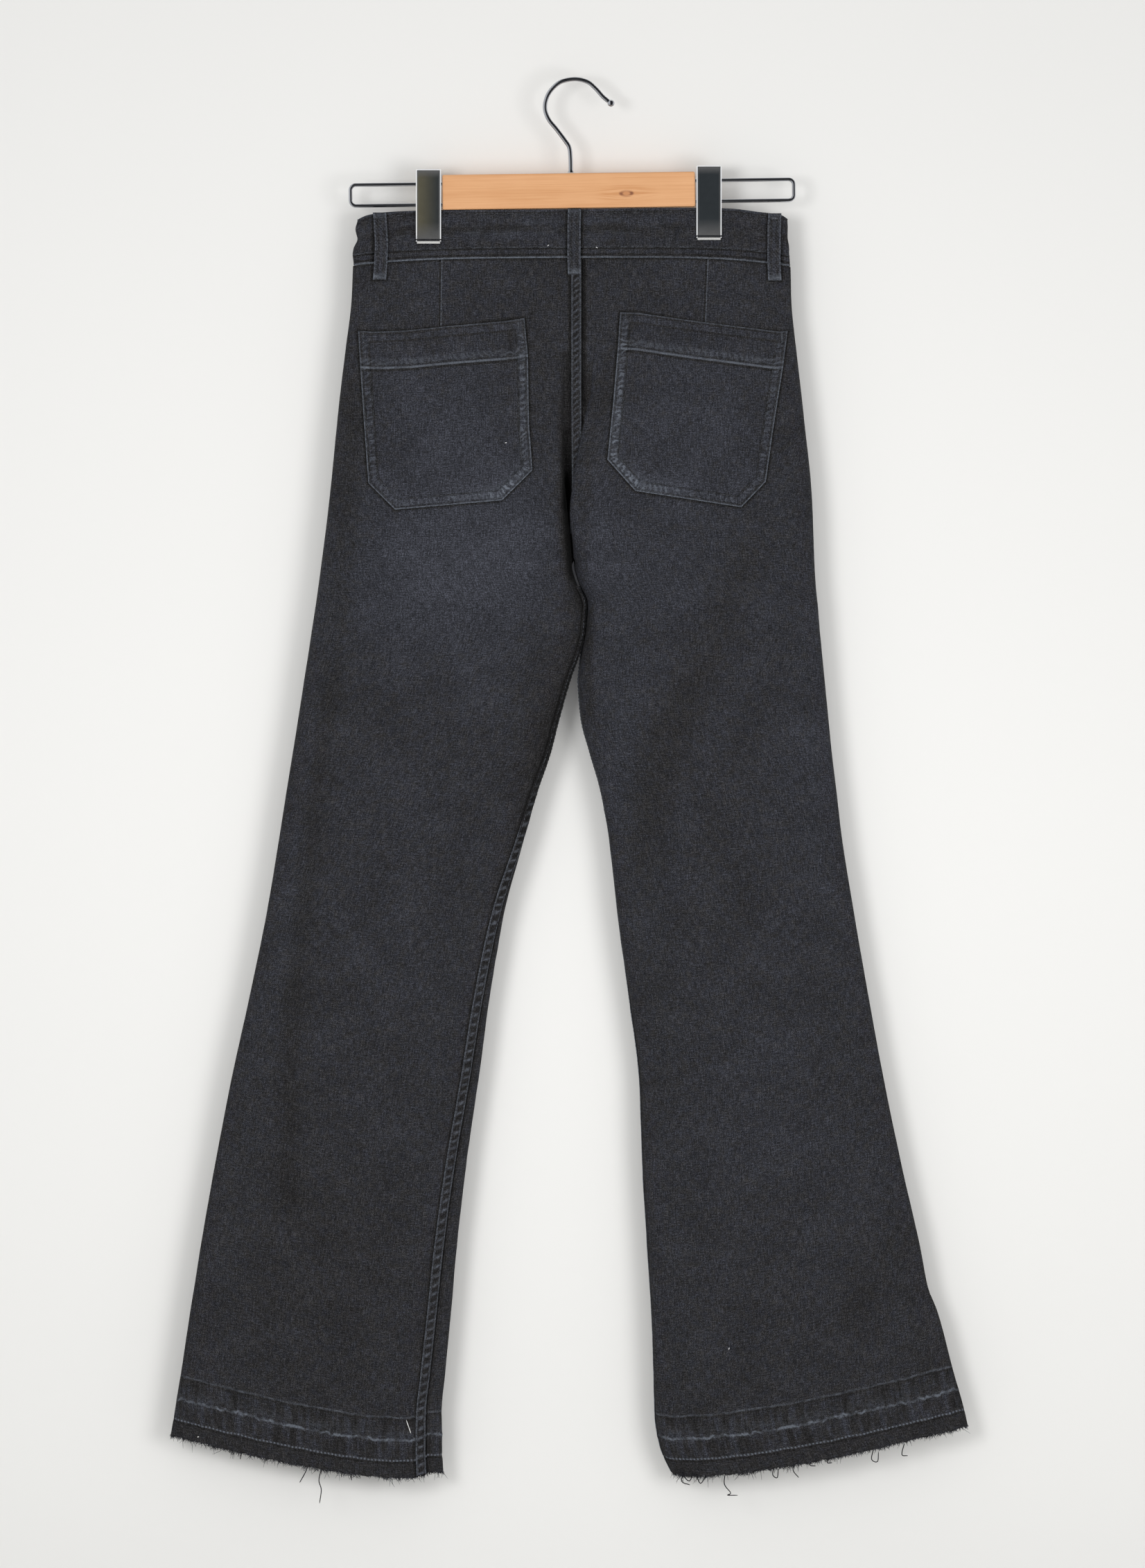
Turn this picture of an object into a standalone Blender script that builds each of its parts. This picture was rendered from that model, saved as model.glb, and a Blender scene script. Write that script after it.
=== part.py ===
"""Bootcut jeans on a clip hanger, as solids.

The jeans hang flat by the waistband from two clips. The frame's origin is the inner crown of the
hanger's hook, where it rests on a rail. +Z is up, -Y is the jeans' back, and +X is the wearer's right.
All tables and sizes are in millimetres, and the meshes are made in metres.
"""

import math

import bmesh
import bpy
import numpy as np

MM = 0.001

# Driving sizes
CLOTH = 1.3
BAND_CLOTH = 2.3
SEAM_GAP = 0.4
LIE_GAP = 0.35
PATCH_GAP = 0.6
BAND_GAP = 0.45
HAIRPIN = 2.6
STRIP_WIDTH = 9.5
STRIP_CLOTH = 0.9
STRIP_SETBACK = 1.0
CROTCH_HEIGHT = -412.0
WAIST_HEIGHT = -152.0
ROUNDING_POWER = 2.4
BAND_HALF_DEPTH = 4.4
BAND_PINCH = 1.8
PINCH_WIDTH = 21.0
CLIP_PLACES = {"left": -125.5, "right": 115.5}

# The outline of the legs seen from the back: a row for each height
EDGE_COLUMNS = ("height", "left_outer", "left_inner", "right_inner", "right_outer")
EDGES = [
    (-152, -190.4, -2.4, 0.0, 185.6),
    (-181, -191.6, -2.4, 0.0, 186.2),
    (-228, -196.6, -2.4, 0.0, 190.4),
    (-288, -203.5, -2.4, 0.0, 196.9),
    (-359, -210.6, -2.4, 0.0, 204.1),
    (-416, -217.6, -2.4, 0.0, 206.2),
    (-431, -219.6, 1.2, 3.6, 207.1),
    (-450, -222.3, 8.9, 11.3, 208.9),
    (-470, -225.4, 7.7, 9.7, 210.6),
    (-489, -228.3, 4.2, 6.8, 212.4),
    (-516, -232.6, -5.4, 3.6, 215.0),
    (-547, -237.4, -13.7, 5.9, 218.0),
    (-577, -242.2, -21.1, 13.6, 221.0),
    (-609, -247.4, -32.1, 22.6, 225.0),
    (-645, -252.9, -41.6, 29.2, 229.1),
    (-716, -264.8, -60.7, 37.5, 240.4),
    (-788, -279.6, -72.6, 47.6, 252.9),
    (-859, -295.1, -82.1, 56.5, 266.0),
    (-931, -308.8, -92.8, 58.9, 280.8),
    (-1002, -321.3, -101.1, 63.1, 296.9),
    (-1038, -327.0, -104.4, 65.4, 304.0),
    (-1056, -330.0, -106.0, 66.6, 311.2),
    (-1109, -338.0, -111.0, 68.7, 325.5),
    (-1145, -343.9, -114.2, 69.6, 335.6),
    (-1172, -348.5, -114.0, 73.8, 341.0),
    (-1200, -352.8, -112.5, 86.0, 346.9),
]

# How far the cloth stands out at each height, and how wide its edges round, as a share of the panel
BODY_COLUMNS = ("height", "back", "front", "outer_round", "inner_round")
BODY = [
    (-152, 4.2, 4.2, 0.035, 0.15),
    (-193, 8.0, 6.5, 0.16, 0.15),
    (-240, 14.0, 9.0, 0.27, 0.11),
    (-288, 19.0, 12.0, 0.35, 0.08),
    (-343, 22.0, 15.0, 0.40, 0.065),
    (-397, 24.0, 18.0, 0.43, 0.09),
    (-416, 24.5, 18.5, 0.44, 0.14),
    (-450, 24.5, 19.0, 0.46, 0.22),
    (-500, 23.5, 18.5, 0.48, 0.32),
    (-600, 21.0, 17.0, 0.50, 0.45),
    (-720, 18.0, 15.0, 0.50, 0.50),
    (-860, 16.0, 14.0, 0.50, 0.50),
    (-1000, 15.0, 14.0, 0.50, 0.50),
    (-1200, 14.0, 14.0, 0.50, 0.50),
]

# The fold beside the seat seam: the left panel rolls into it, and the right panel's lobe laps over it.
# Each drop is the share of the depth that the cloth at the seam has lost.
FOLD_COLUMNS = ("height", "seam", "drop", "roll", "lobe", "front_drop")
FOLD = [
    (-152, 7.0, 0.00, -12.0, 27.0, 0.00),
    (-193, 7.0, 0.00, -12.5, 28.0, 0.00),
    (-209, 7.0, 0.06, -12.5, 26.0, 0.00),
    (-242, 7.0, 0.20, -9.2, 16.0, 0.00),
    (-271, 7.0, 0.30, -9.5, 13.7, 0.00),
    (-286, 7.1, 0.35, -10.0, 9.5, 0.00),
    (-322, 7.3, 0.45, -10.7, 1.8, 0.00),
    (-343, 7.5, 0.52, -9.2, -1.8, 0.04),
    (-371, 6.5, 0.65, -6.0, -4.6, 0.16),
    (-397, 3.0, 0.82, -3.6, -2.2, 0.50),
    (-412, 0.0, 0.90, -2.6, -1.0, 0.84),
]

# The waistband's lower and upper lines
BAND_COLUMNS = ("place", "lower", "upper")
BAND = [
    (-191, -158.6, -119.0),
    (-181, -157.6, -115.4),
    (-150, -155.2, -112.0),
    (-120, -153.7, -111.0),
    (-85, -152.8, -110.8),
    (0, -152.1, -110.0),
    (60, -152.0, -109.2),
    (92, -152.3, -108.9),
    (114, -152.9, -108.9),
    (133, -153.8, -109.6),
    (160, -156.1, -112.8),
    (180, -158.5, -115.4),
    (186, -159.4, -118.4),
]

# The left leg's inseam comes round onto the back face, this far along the cloth from the leg's edge
INSEAM_COLUMNS = ("height", "run")
INSEAM = [(-152, 0.0), (-560, 0.0), (-640, 2.5), (-705, 6.0), (-790, 9.5), (-870, 11.5), (-1000, 14.0), (-1200, 16.5)]

# Soft folds: where each starts, bends and ends, its half width and its depth
FOLDS_BACK = {
    "left_leg": ([(-207, -500), (-226, -650), (-243, -800), (-245, -960)], 16.0, 3.5),
    "left_hip": ([(-197, -290), (-200, -390)], 12.0, 2.0),
    "right_seat": ([(147, -404), (128, -460), (78, -556), (57, -663)], 20.0, 4.0),
    "right_knee": ([(64, -864), (132, -836)], 12.0, 2.5),
    "right_calf": ([(286, -990), (232, -1065)], 17.0, 3.0),
}
FOLDS_FRONT = {
    "left_thigh": ([(-40, -440), (-110, -520), (-150, -640)], 20.0, 4.0),
    "left_shin": ([(-205, -800), (-190, -1010)], 18.0, 3.0),
    "right_thigh": ([(45, -440), (112, -540), (140, -660)], 20.0, 4.0),
    "right_shin": ([(165, -840), (222, -1060)], 18.0, 3.0),
}

# Each leg's hem: the height at its inner end, the rise of the levels to its outer end, and their bow
HEMS = {
    "left": {"height": -1195.0, "rise": 31.0, "power": 1.35, "bow": 7.5},
    "right": {"height": -1196.0, "rise": 40.0, "power": 1.4, "bow": 5.0},
}
SIDES = {"left": -1.0, "right": 1.0}

# Pockets on the back, as seen: corners down each side, and the depth of the hem across the top
POCKET_BAND_SHARE = 0.24
POCKETS = {
    "left": {
        "left_side": [(-186, -215), (-184, -246), (-181, -290), (-177, -346), (-154, -369)],
        "right_side": [(-43, -204), (-40, -236), (-39, -296), (-36, -335), (-62, -361)],
    },
    "right": {
        "left_side": [(39, -199), (37, -230), (33, -277), (28, -326), (52, -353)],
        "right_side": [(183, -215), (179, -246), (171, -296), (164, -345), (143, -367)],
    },
}

LOOP_WIDTH = 11.5
LOOP_CLOTH = 1.6
LOOP_BOW = 1.8
LOOP_BELOW_BAND = 14.5
LOOPS = {
    "back_left": (-167.5, -1.0),
    "back_centre": (0.0, -1.0),
    "back_right": (172.0, -1.0),
    "front_left": (-84.0, 1.0),
    "front_right": (84.0, 1.0),
}

# Hanger
BAR_SIZE = (217.0, 12.0, 30.0)
BAR_CENTRE = (-5.0, 0.0, -94.4)
BAR_TILT = math.radians(-0.75)
WIRE_RADIUS = 1.25
HOOK_RADIUS = 1.8
HOOK_BALL = 3.1
CLIP_WIDTH = 21.6
CLIP_METAL = 1.0

COLOURS = {
    "denim": (0.036, 0.037, 0.044, 1.0),
    "faded_denim": (0.075, 0.080, 0.095, 1.0),
    "wood": (0.72, 0.38, 0.18, 1.0),
    "steel": (0.62, 0.62, 0.63, 1.0),
    "brass": (0.45, 0.27, 0.12, 1.0),
}


def clear_scene():
    for thing in list(bpy.data.objects):
        bpy.data.objects.remove(thing)


def make_materials():
    made = {}
    for name, colour in COLOURS.items():
        material = bpy.data.materials.new(name)
        material.use_nodes = True
        shader = material.node_tree.nodes["Principled BSDF"]
        shader.inputs["Base Color"].default_value = colour
        metal = name in ("steel", "brass")
        shader.inputs["Metallic"].default_value = 1.0 if metal else 0.0
        shader.inputs["Roughness"].default_value = 0.25 if metal else 0.85
        made[name] = material
    return made


# Smooth curves through the tables

def cubic(places, values, at):
    """A monotone cubic through the given points, so that it never overshoots them."""
    places = np.asarray(places, float)
    values = np.asarray(values, float)
    if places[0] > places[-1]:
        places, values = places[::-1], values[::-1]
    steps = np.diff(places)
    slopes = np.diff(values) / steps
    tangents = np.zeros(len(values))
    tangents[0], tangents[-1] = slopes[0], slopes[-1]
    for i in range(1, len(values) - 1):
        if slopes[i - 1] * slopes[i] > 0:
            before = 2 * steps[i] + steps[i - 1]
            after = steps[i] + 2 * steps[i - 1]
            tangents[i] = (before + after) / (before / slopes[i - 1] + after / slopes[i])
    at = np.clip(np.asarray(at, float), places[0], places[-1])
    k = np.clip(np.searchsorted(places, at, side="right") - 1, 0, len(steps) - 1)
    t = (at - places[k]) / steps[k]
    h = steps[k]
    return (
        values[k] * (1 + 2 * t) * (1 - t) ** 2
        + h * tangents[k] * t * (1 - t) ** 2
        + values[k + 1] * t * t * (3 - 2 * t)
        + h * tangents[k + 1] * t * t * (t - 1)
    )


def read(table, columns, column, at):
    rows = np.array(table, float)
    return cubic(rows[:, 0], rows[:, columns.index(column)], at)


def edge(column, height):
    return float(read(EDGES, EDGE_COLUMNS, column, height))


def body(column, height):
    return float(read(BODY, BODY_COLUMNS, column, height))


def fold(column, height):
    return float(read(FOLD, FOLD_COLUMNS, column, height))


def band_line(column, place):
    return read(BAND, BAND_COLUMNS, column, place)


def smooth_step(value):
    value = np.clip(value, 0.0, 1.0)
    return value * value * (3 - 2 * value)


def rounded(distance, length):
    """0 at a panel's rounded edge and 1 from the given length on."""
    share = np.clip(1 - distance / length, 0, 1)
    return (1 - share**ROUNDING_POWER) ** (1 / ROUNDING_POWER)


def across(width, inner_length, outer_length, count=26):
    """Distances from a panel's inner edge, close together where its ends turn."""
    ramp = np.linspace(0, 1, count) ** ROUNDING_POWER
    inner = inner_length * ramp
    outer = width - outer_length * ramp[::-1]
    middle = np.linspace(inner_length, width - outer_length, 12)[1:-1]
    return np.concatenate([inner, middle, outer])


def trough(x, z, folds):
    """How far the soft folds press the cloth in at a point."""
    total = np.zeros_like(x)
    for points, half_width, depth in folds.values():
        nearest = np.full_like(x, 1e9)
        for (x0, z0), (x1, z1) in zip(points[:-1], points[1:]):
            length = (x1 - x0) ** 2 + (z1 - z0) ** 2
            t = np.clip(((x - x0) * (x1 - x0) + (z - z0) * (z1 - z0)) / length, 0, 1)
            away = np.hypot(x - x0 - t * (x1 - x0), z - z0 - t * (z1 - z0))
            nearest = np.minimum(nearest, away)
        total += depth * np.exp(-((nearest / half_width) ** 2))
    return total


# Sections across one leg or one half of the seat, from the seam between the legs to the side seam

def rise_of(side, height):
    hem = HEMS[side]
    share = smooth_step((height + 420.0) / (hem["height"] + 420.0) / 0.9)
    return hem["rise"] * float(share)


def level_height(side, height, x, inner, outer):
    """The height of a level's point: levels tilt with the leg and follow the waistband at the top."""
    hem = HEMS[side]
    t = np.clip((x - inner) / (outer - inner), 0, 1)
    rise = rise_of(side, height)
    tilted = rise * t ** hem["power"] - hem["bow"] * rise / hem["rise"] * np.sin(math.pi * np.sqrt(t))
    top = (band_line("lower", x) - WAIST_HEIGHT) * smooth_step((height + 260.0) / 100.0)
    return height + tilted + top


def outer_edge(side, height):
    return edge(side + "_outer", height + rise_of(side, height))


def back_section(side, height):
    """Points of the back panel's outer face at one level, from the inner seam to the side seam."""
    way = SIDES[side]
    outer = outer_edge(side, height)
    depth = body("back", height)
    lead = np.zeros((0, 2))
    if height > CROTCH_HEIGHT:
        start = fold("roll" if side == "left" else "lobe", height)
        seam = fold("seam", height)
        floor = depth * (1 - fold("drop", height))
        lap = smooth_step((seam - start) / 8.0) if side == "right" else 0.0
        first = floor + HAIRPIN * lap
        base = floor + 0.4 * lap * (depth - floor)
        t = np.linspace(0, 1, 8)[:-1]
        lead = np.column_stack([seam + (start - seam) * t, -(first + (max(base, first) - first) * t)])
        base = max(base, first)
    else:
        start = edge(side + "_inner", height)
        base = 0.0
    width = abs(outer - start)
    inner_length = body("inner_round", height) * width
    outer_length = body("outer_round", height) * width
    distance = across(width, inner_length, outer_length)
    x = start + way * distance
    full = depth * rounded(width - distance, outer_length)
    y = base + (full - base) * rounded(distance, inner_length)
    pressed = trough(x, np.full_like(x, height), FOLDS_BACK)
    y -= pressed * rounded(width - distance, outer_length) * rounded(distance, inner_length)
    return np.vstack([lead, np.column_stack([x, -y])])


def front_section(side, height):
    """Points of the front panel's outer face at one level, from the inner seam to the side seam."""
    way = SIDES[side]
    outer = outer_edge(side, height)
    depth = body("front", height)
    if height > CROTCH_HEIGHT:
        start = fold("seam", height) * 0.3 - 0.5
        base = depth * (1 - fold("front_drop", height))
    else:
        start = edge(side + "_inner", height)
        base = 0.0
    width = abs(outer - start)
    inner_length = max(body("inner_round", height), 0.14) * width
    outer_length = body("outer_round", height) * width
    distance = across(width, inner_length, outer_length)
    x = start + way * distance
    full = depth * rounded(width - distance, outer_length)
    y = base + (full - base) * rounded(distance, inner_length)
    pressed = trough(x, np.full_like(x, height), FOLDS_FRONT)
    y -= pressed * rounded(width - distance, outer_length) * rounded(distance, inner_length)
    return np.column_stack([x, y])


def run_lengths(points):
    return np.concatenate([[0.0], np.cumsum(np.hypot(*np.diff(points, axis=0).T))])


def at_lengths(points, lengths, where):
    return np.column_stack([np.interp(where, lengths, points[:, k]) for k in (0, 1)])


def panel_section(side, face, height):
    """The section of one panel between its two seams."""
    back = back_section(side, height)
    seam_at = float(read(INSEAM, INSEAM_COLUMNS, "run", height))
    if side == "right" or seam_at <= 0:
        return back if face == "back" else front_section(side, height)
    lengths = run_lengths(back)
    if face == "back":
        beyond = lengths > seam_at
        return np.vstack([at_lengths(back, lengths, [seam_at]), back[beyond]])
    before = lengths < seam_at
    wrapped = np.vstack([at_lengths(back, lengths, [seam_at]), back[before][::-1]])
    return np.vstack([wrapped[:-1], front_section(side, height)])


def columns_of(length, near, count):
    """Run lengths of a panel's columns: a few close to the inner seam, then even ones, then a close pair."""
    first = [n for n in near if n < 0.4 * length]
    rest = np.linspace(first[-1], length - 9.0, count + 1)[1:]
    return np.concatenate([first, rest, [length - 3.5, length]])


def panel_grid(side, face, heights, near, count):
    """Outer points and outward directions of a panel, a row for each height."""
    points, directions = [], []
    for height in heights:
        section = panel_section(side, face, height)
        lengths = run_lengths(section)
        where = columns_of(lengths[-1] - SEAM_GAP, near, count) + SEAM_GAP / 2
        place = at_lengths(section, lengths, where)
        reach = 0.9
        ahead = at_lengths(section, lengths, where + reach) - at_lengths(section, lengths, where - reach)
        ahead /= np.linalg.norm(ahead, axis=1)[:, None]
        turn = -SIDES[side] if face == "back" else SIDES[side]
        outward = np.column_stack([-ahead[:, 1], ahead[:, 0]]) * turn
        inner = section[0, 0]
        z = level_height(side, height, place[:, 0], inner, section[-1, 0])
        points.append(np.column_stack([place, z]))
        directions.append(np.column_stack([outward, np.zeros(len(outward))]))
    return np.array(points), np.array(directions)


def panel_heights(side, above=13, crotch=4, below=17):
    """Levels from the waist to the hem, closer together round the crotch."""
    hem = HEMS[side]["height"]
    top = np.linspace(WAIST_HEIGHT - BAND_GAP, CROTCH_HEIGHT + 4.0, above)
    middle = np.linspace(CROTCH_HEIGHT - 1.0, CROTCH_HEIGHT - 68.0, crotch + 1)
    low = np.linspace(middle[-1], hem, below + 1)[1:]
    return np.concatenate([top, middle, low])


# Solids

def add_object(name, mesh_data, material, smooth=True):
    thing = bpy.data.objects.new(name, mesh_data)
    bpy.context.collection.objects.link(thing)
    mesh_data.materials.append(material)
    if smooth:
        mesh_data.shade_smooth()
        mesh_data.set_sharp_from_angle(angle=math.radians(40))
    return thing


def mesh_from(points, faces, name):
    """A closed mesh in metres with its faces turned outward."""
    corners = np.asarray(points, float)
    volume = 0.0
    for face in faces:
        for k in range(1, len(face) - 1):
            a, b, c = corners[face[0]], corners[face[k]], corners[face[k + 1]]
            volume += float(np.dot(a, np.cross(b, c)))
    if volume < 0:
        faces = [face[::-1] for face in faces]
    mesh = bpy.data.meshes.new(name)
    mesh.from_pydata((corners * MM).tolist(), [], [list(map(int, face)) for face in faces])
    mesh.update()
    return mesh


def shell(name, outer, inner, material):
    """A wall between two grids of points, closed along its four edges."""
    rows, columns = outer.shape[:2]
    index = np.arange(rows * columns).reshape(rows, columns)
    faces = []
    for i in range(rows - 1):
        for j in range(columns - 1):
            quad = [index[i, j], index[i, j + 1], index[i + 1, j + 1], index[i + 1, j]]
            faces.append(quad)
            faces.append([q + rows * columns for q in quad[::-1]])
    rim = [*index[0, :], *index[1:, -1], *index[-1, -2::-1], *index[-2:0:-1, 0]]
    for a, b in zip(rim, rim[1:] + rim[:1]):
        faces.append([b, a, a + rows * columns, b + rows * columns])
    points = np.vstack([outer.reshape(-1, 3), inner.reshape(-1, 3)])
    return add_object(name, mesh_from(points, faces, name), material)


def swept(name, centres, radii, sides, material):
    """A round bar along a path, with its own radius at each point and flat ends."""
    centres = np.asarray(centres, float)
    ahead = np.gradient(centres, axis=0)
    ahead /= np.linalg.norm(ahead, axis=1)[:, None]
    side = np.array([0.0, 1.0, 0.0])
    points = []
    for centre, direction, radius in zip(centres, ahead, radii):
        across_path = np.cross(direction, side)
        for k in range(sides):
            angle = 2 * math.pi * (k + 0.5) / sides
            points.append(centre + radius * (math.cos(angle) * side + math.sin(angle) * across_path))
    faces = [list(range(sides)), list(range((len(centres) - 1) * sides, len(centres) * sides))[::-1]]
    for i in range(len(centres) - 1):
        for k in range(sides):
            a, b = i * sides + k, i * sides + (k + 1) % sides
            faces.append([b, a, a + sides, b + sides])
    return add_object(name, mesh_from(points, faces, name), material)


def curve_through(points, count):
    """Even points along a smooth curve through the given ones."""
    points = np.asarray(points, float)
    at = np.concatenate([[0.0], np.cumsum(np.linalg.norm(np.diff(points, axis=0), axis=1))])
    ends = np.vstack([2 * points[0] - points[1], points, 2 * points[-1] - points[-2]])
    fine = []
    for k in range(len(points) - 1):
        p0, p1, p2, p3 = ends[k : k + 4]
        for t in np.linspace(0, 1, 12, endpoint=False):
            fine.append(
                0.5 * (2 * p1 + (p2 - p0) * t + (2 * p0 - 5 * p1 + 4 * p2 - p3) * t**2
                       + (3 * p1 - p0 - 3 * p2 + p3) * t**3)
            )
    fine = np.vstack([fine, points[-1]])
    at = np.concatenate([[0.0], np.cumsum(np.linalg.norm(np.diff(fine, axis=0), axis=1))])
    where = np.linspace(0, at[-1], count)
    return np.column_stack([np.interp(where, at, fine[:, k]) for k in range(points.shape[1])])


# Cloth pieces

NEAR_SEAM = (0.0, STRIP_WIDTH / 2, STRIP_WIDTH, 13.5, 17.5, 22.0, 28.0, 38.0)
NEAR_FRONT_SEAM = (0.0, STRIP_WIDTH / 2, STRIP_WIDTH, 16.0, 26.0)


def make_panels(materials):
    grids = {}
    for side in SIDES:
        for face in ("back", "front"):
            near = NEAR_SEAM if face == "back" else NEAR_FRONT_SEAM
            count = 7 if face == "back" else 8
            points, directions = panel_grid(side, face, panel_heights(side), near, count)
            grids[side, face] = points, directions
            name = "panel_" + face + "_" + side
            shell(name, points, points - CLOTH * directions, materials["denim"])
    return grids


def make_strip(name, grid, rows, columns, material):
    """A flat-felled seam's raised strip, made from the panel's own points moved out."""
    part = np.s_[rows[0] : rows[1], columns[0] : columns[1]]
    points, directions = (values[part].copy() for values in grid)
    points[:, 0] += STRIP_SETBACK / STRIP_WIDTH * (points[:, -1] - points[:, 0])
    low = points + LIE_GAP * directions
    high = points + (LIE_GAP + STRIP_CLOTH) * directions
    shell(name, high, low, material)


def make_seam_strips(grids, materials):
    heights = panel_heights("left")
    above = int(np.sum(heights > -390.0))
    below = int(np.sum(heights > CROTCH_HEIGHT - 20.0))
    count = len(heights)
    make_strip("seat_seam", grids["left", "back"], (1, above), (0, 3), materials["faded_denim"])
    make_strip("inseam_left", grids["left", "back"], (below, count), (0, 3), materials["faded_denim"])
    make_strip("inseam_right", grids["right", "front"], (below, count), (0, 3), materials["faded_denim"])


def surface_depth(side, face, x, z):
    """How far the panel's outer face stands out from the middle plane at a place above the crotch."""
    section = panel_section(side, face, z)
    order = np.argsort(section[:, 0])
    return np.interp(x, section[order, 0], np.abs(section[order, 1]))


def patch(name, side, face, left_side, right_side, shape, cloth, material, extra=None):
    """A piece lying on a panel, between two chains of corners that run down its sides."""
    rows, columns = shape
    left = curve_chain(left_side, rows)
    right = curve_chain(right_side, rows)
    way = -1.0 if face == "back" else 1.0
    low, high = [], []
    for i in range(rows):
        share = np.linspace(0, 1, columns)[:, None]
        row = left[i] * (1 - share) + right[i] * share
        depth = np.array([surface_depth(side, face, x, z) for x, z in row])
        thick = cloth + (extra(i / (rows - 1)) if extra else 0.0)
        low.append(np.column_stack([row[:, 0], way * (depth + PATCH_GAP), row[:, 1]]))
        high.append(np.column_stack([row[:, 0], way * (depth + PATCH_GAP + thick), row[:, 1]]))
    shell(name, np.array(high), np.array(low), material)


def curve_chain(corners, count):
    """Points spread along a chain of corners, keeping the corners themselves."""
    corners = np.asarray(corners, float)
    at = np.linspace(0, 1, len(corners))
    where = np.linspace(0, 1, count)
    return np.column_stack([np.interp(where, at, corners[:, k]) for k in (0, 1)])


def make_pockets(materials):
    for side, sides in POCKETS.items():
        def band(share):
            return 0.7 if share <= POCKET_BAND_SHARE else 0.0
        patch("pocket_" + side, side, "back", sides["left_side"], sides["right_side"], (13, 9),
              CLOTH, materials["denim"], band)


def make_fly(materials):
    """The fly's overlap on the hidden front, with its J-shaped lower end."""
    left = [(-37, -156), (-37, -200), (-37, -250), (-33, -290), (-22, -312), (-4, -326)]
    right = [(-2.5, -156), (-2.5, -200), (-2.5, -250), (-2.5, -290), (-2.5, -312), (-2.5, -330)]
    patch("fly", "left", "front", left, right, (11, 4), CLOTH, materials["denim"])


def make_front_pocket_edges(materials):
    """The hemmed mouths of the hidden front pockets, as curved strips."""
    for side, way in SIDES.items():
        angles = np.linspace(0, math.pi / 2, 7)
        centre_x, centre_z = 176.0, -156.5
        upper, lower = [], []
        for angle in angles:
            for chain, reach in ((upper, 0.0), (lower, 8.0)):
                x = centre_x - (58.0 + reach) * math.cos(angle)
                z = centre_z - (82.0 + reach) * math.sin(angle)
                chain.append((way * x, z))
        first, second = (upper, lower) if side == "left" else (lower, upper)
        patch("front_pocket_edge_" + side, side, "front", first, second, (9, 3), 1.0, materials["denim"])


def band_half_depth(x, share):
    """The flattened waistband's half depth: pinched at the clips, above its lower edge."""
    pinch = sum(math.exp(-(((x - place) / PINCH_WIDTH) ** 4)) for place in CLIP_PLACES.values())
    return BAND_HALF_DEPTH - BAND_PINCH * pinch * min(1.0, 3.5 * share)


def make_waistband(materials):
    """One strip all round, from the tab end over the front to the end that lies under it."""
    tab_end, under_end, step = 15.0, -22.0, 2.6
    left_end, right_end = -190.4, 185.8
    route = [("front", x, 0.0) for x in np.linspace(tab_end, left_end + BAND_HALF_DEPTH, 15)]
    route += [("left", angle, 0.0) for angle in np.linspace(90, 270, 8)[1:-1]]
    route += [("back", x, 0.0) for x in np.linspace(left_end + BAND_HALF_DEPTH, right_end - BAND_HALF_DEPTH, 29)]
    route += [("right", angle, 0.0) for angle in np.linspace(-90, 90, 8)[1:-1]]
    route += [("front", x, 0.0) for x in np.linspace(right_end - BAND_HALF_DEPTH, tab_end + 12.0, 13)]
    route += [("front", x, step) for x in np.linspace(tab_end + 3.0, under_end, 4)]
    outer, inner = [], []
    for share in (0.0, 0.35, 0.7, 1.0):
        row_out, row_in = [], []
        for part, value, tucked in route:
            if part in ("left", "right"):
                angle = math.radians(value)
                turn = np.array([math.cos(angle), math.sin(angle)])
                end = left_end + BAND_HALF_DEPTH if part == "left" else right_end - BAND_HALF_DEPTH
                place = np.array([end, 0.0]) + BAND_HALF_DEPTH * turn
                back_in = place - BAND_CLOTH * turn
            else:
                way = -1.0 if part == "back" else 1.0
                deep = band_half_depth(value, share) - tucked
                place = np.array([value, way * deep])
                back_in = np.array([value, way * (deep - BAND_CLOTH)])
            x = float(np.clip(place[0], -190.0, 185.5))
            z = (1 - share) * float(band_line("lower", x)) + share * float(band_line("upper", x))
            row_out.append([*place, z])
            row_in.append([*back_in, z])
        outer.append(row_out)
        inner.append(row_in)
    shell("waistband", np.array(outer), np.array(inner), materials["denim"])


def make_belt_loops(materials):
    for name, (place, way) in LOOPS.items():
        side = "left" if place < 0 else "right"
        face = "back" if way < 0 else "front"
        top = float(band_line("upper", place))
        bottom = float(band_line("lower", place)) - LOOP_BELOW_BAND
        outer, inner = [], []
        for t in np.linspace(0, 1, 9):
            z = top + (bottom - top) * t
            panel = surface_depth(side, face, place, min(z, WAIST_HEIGHT - 0.5))
            base = max(BAND_HALF_DEPTH, float(panel)) + LIE_GAP + LOOP_BOW * math.sin(math.pi * t)
            for chain, y in ((inner, base), (outer, base + LOOP_CLOTH)):
                chain.append([[place + k * LOOP_WIDTH / 2, way * y, z] for k in (-1, 0, 1)])
        shell("belt_loop_" + name, np.array(outer), np.array(inner), materials["denim"])


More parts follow.
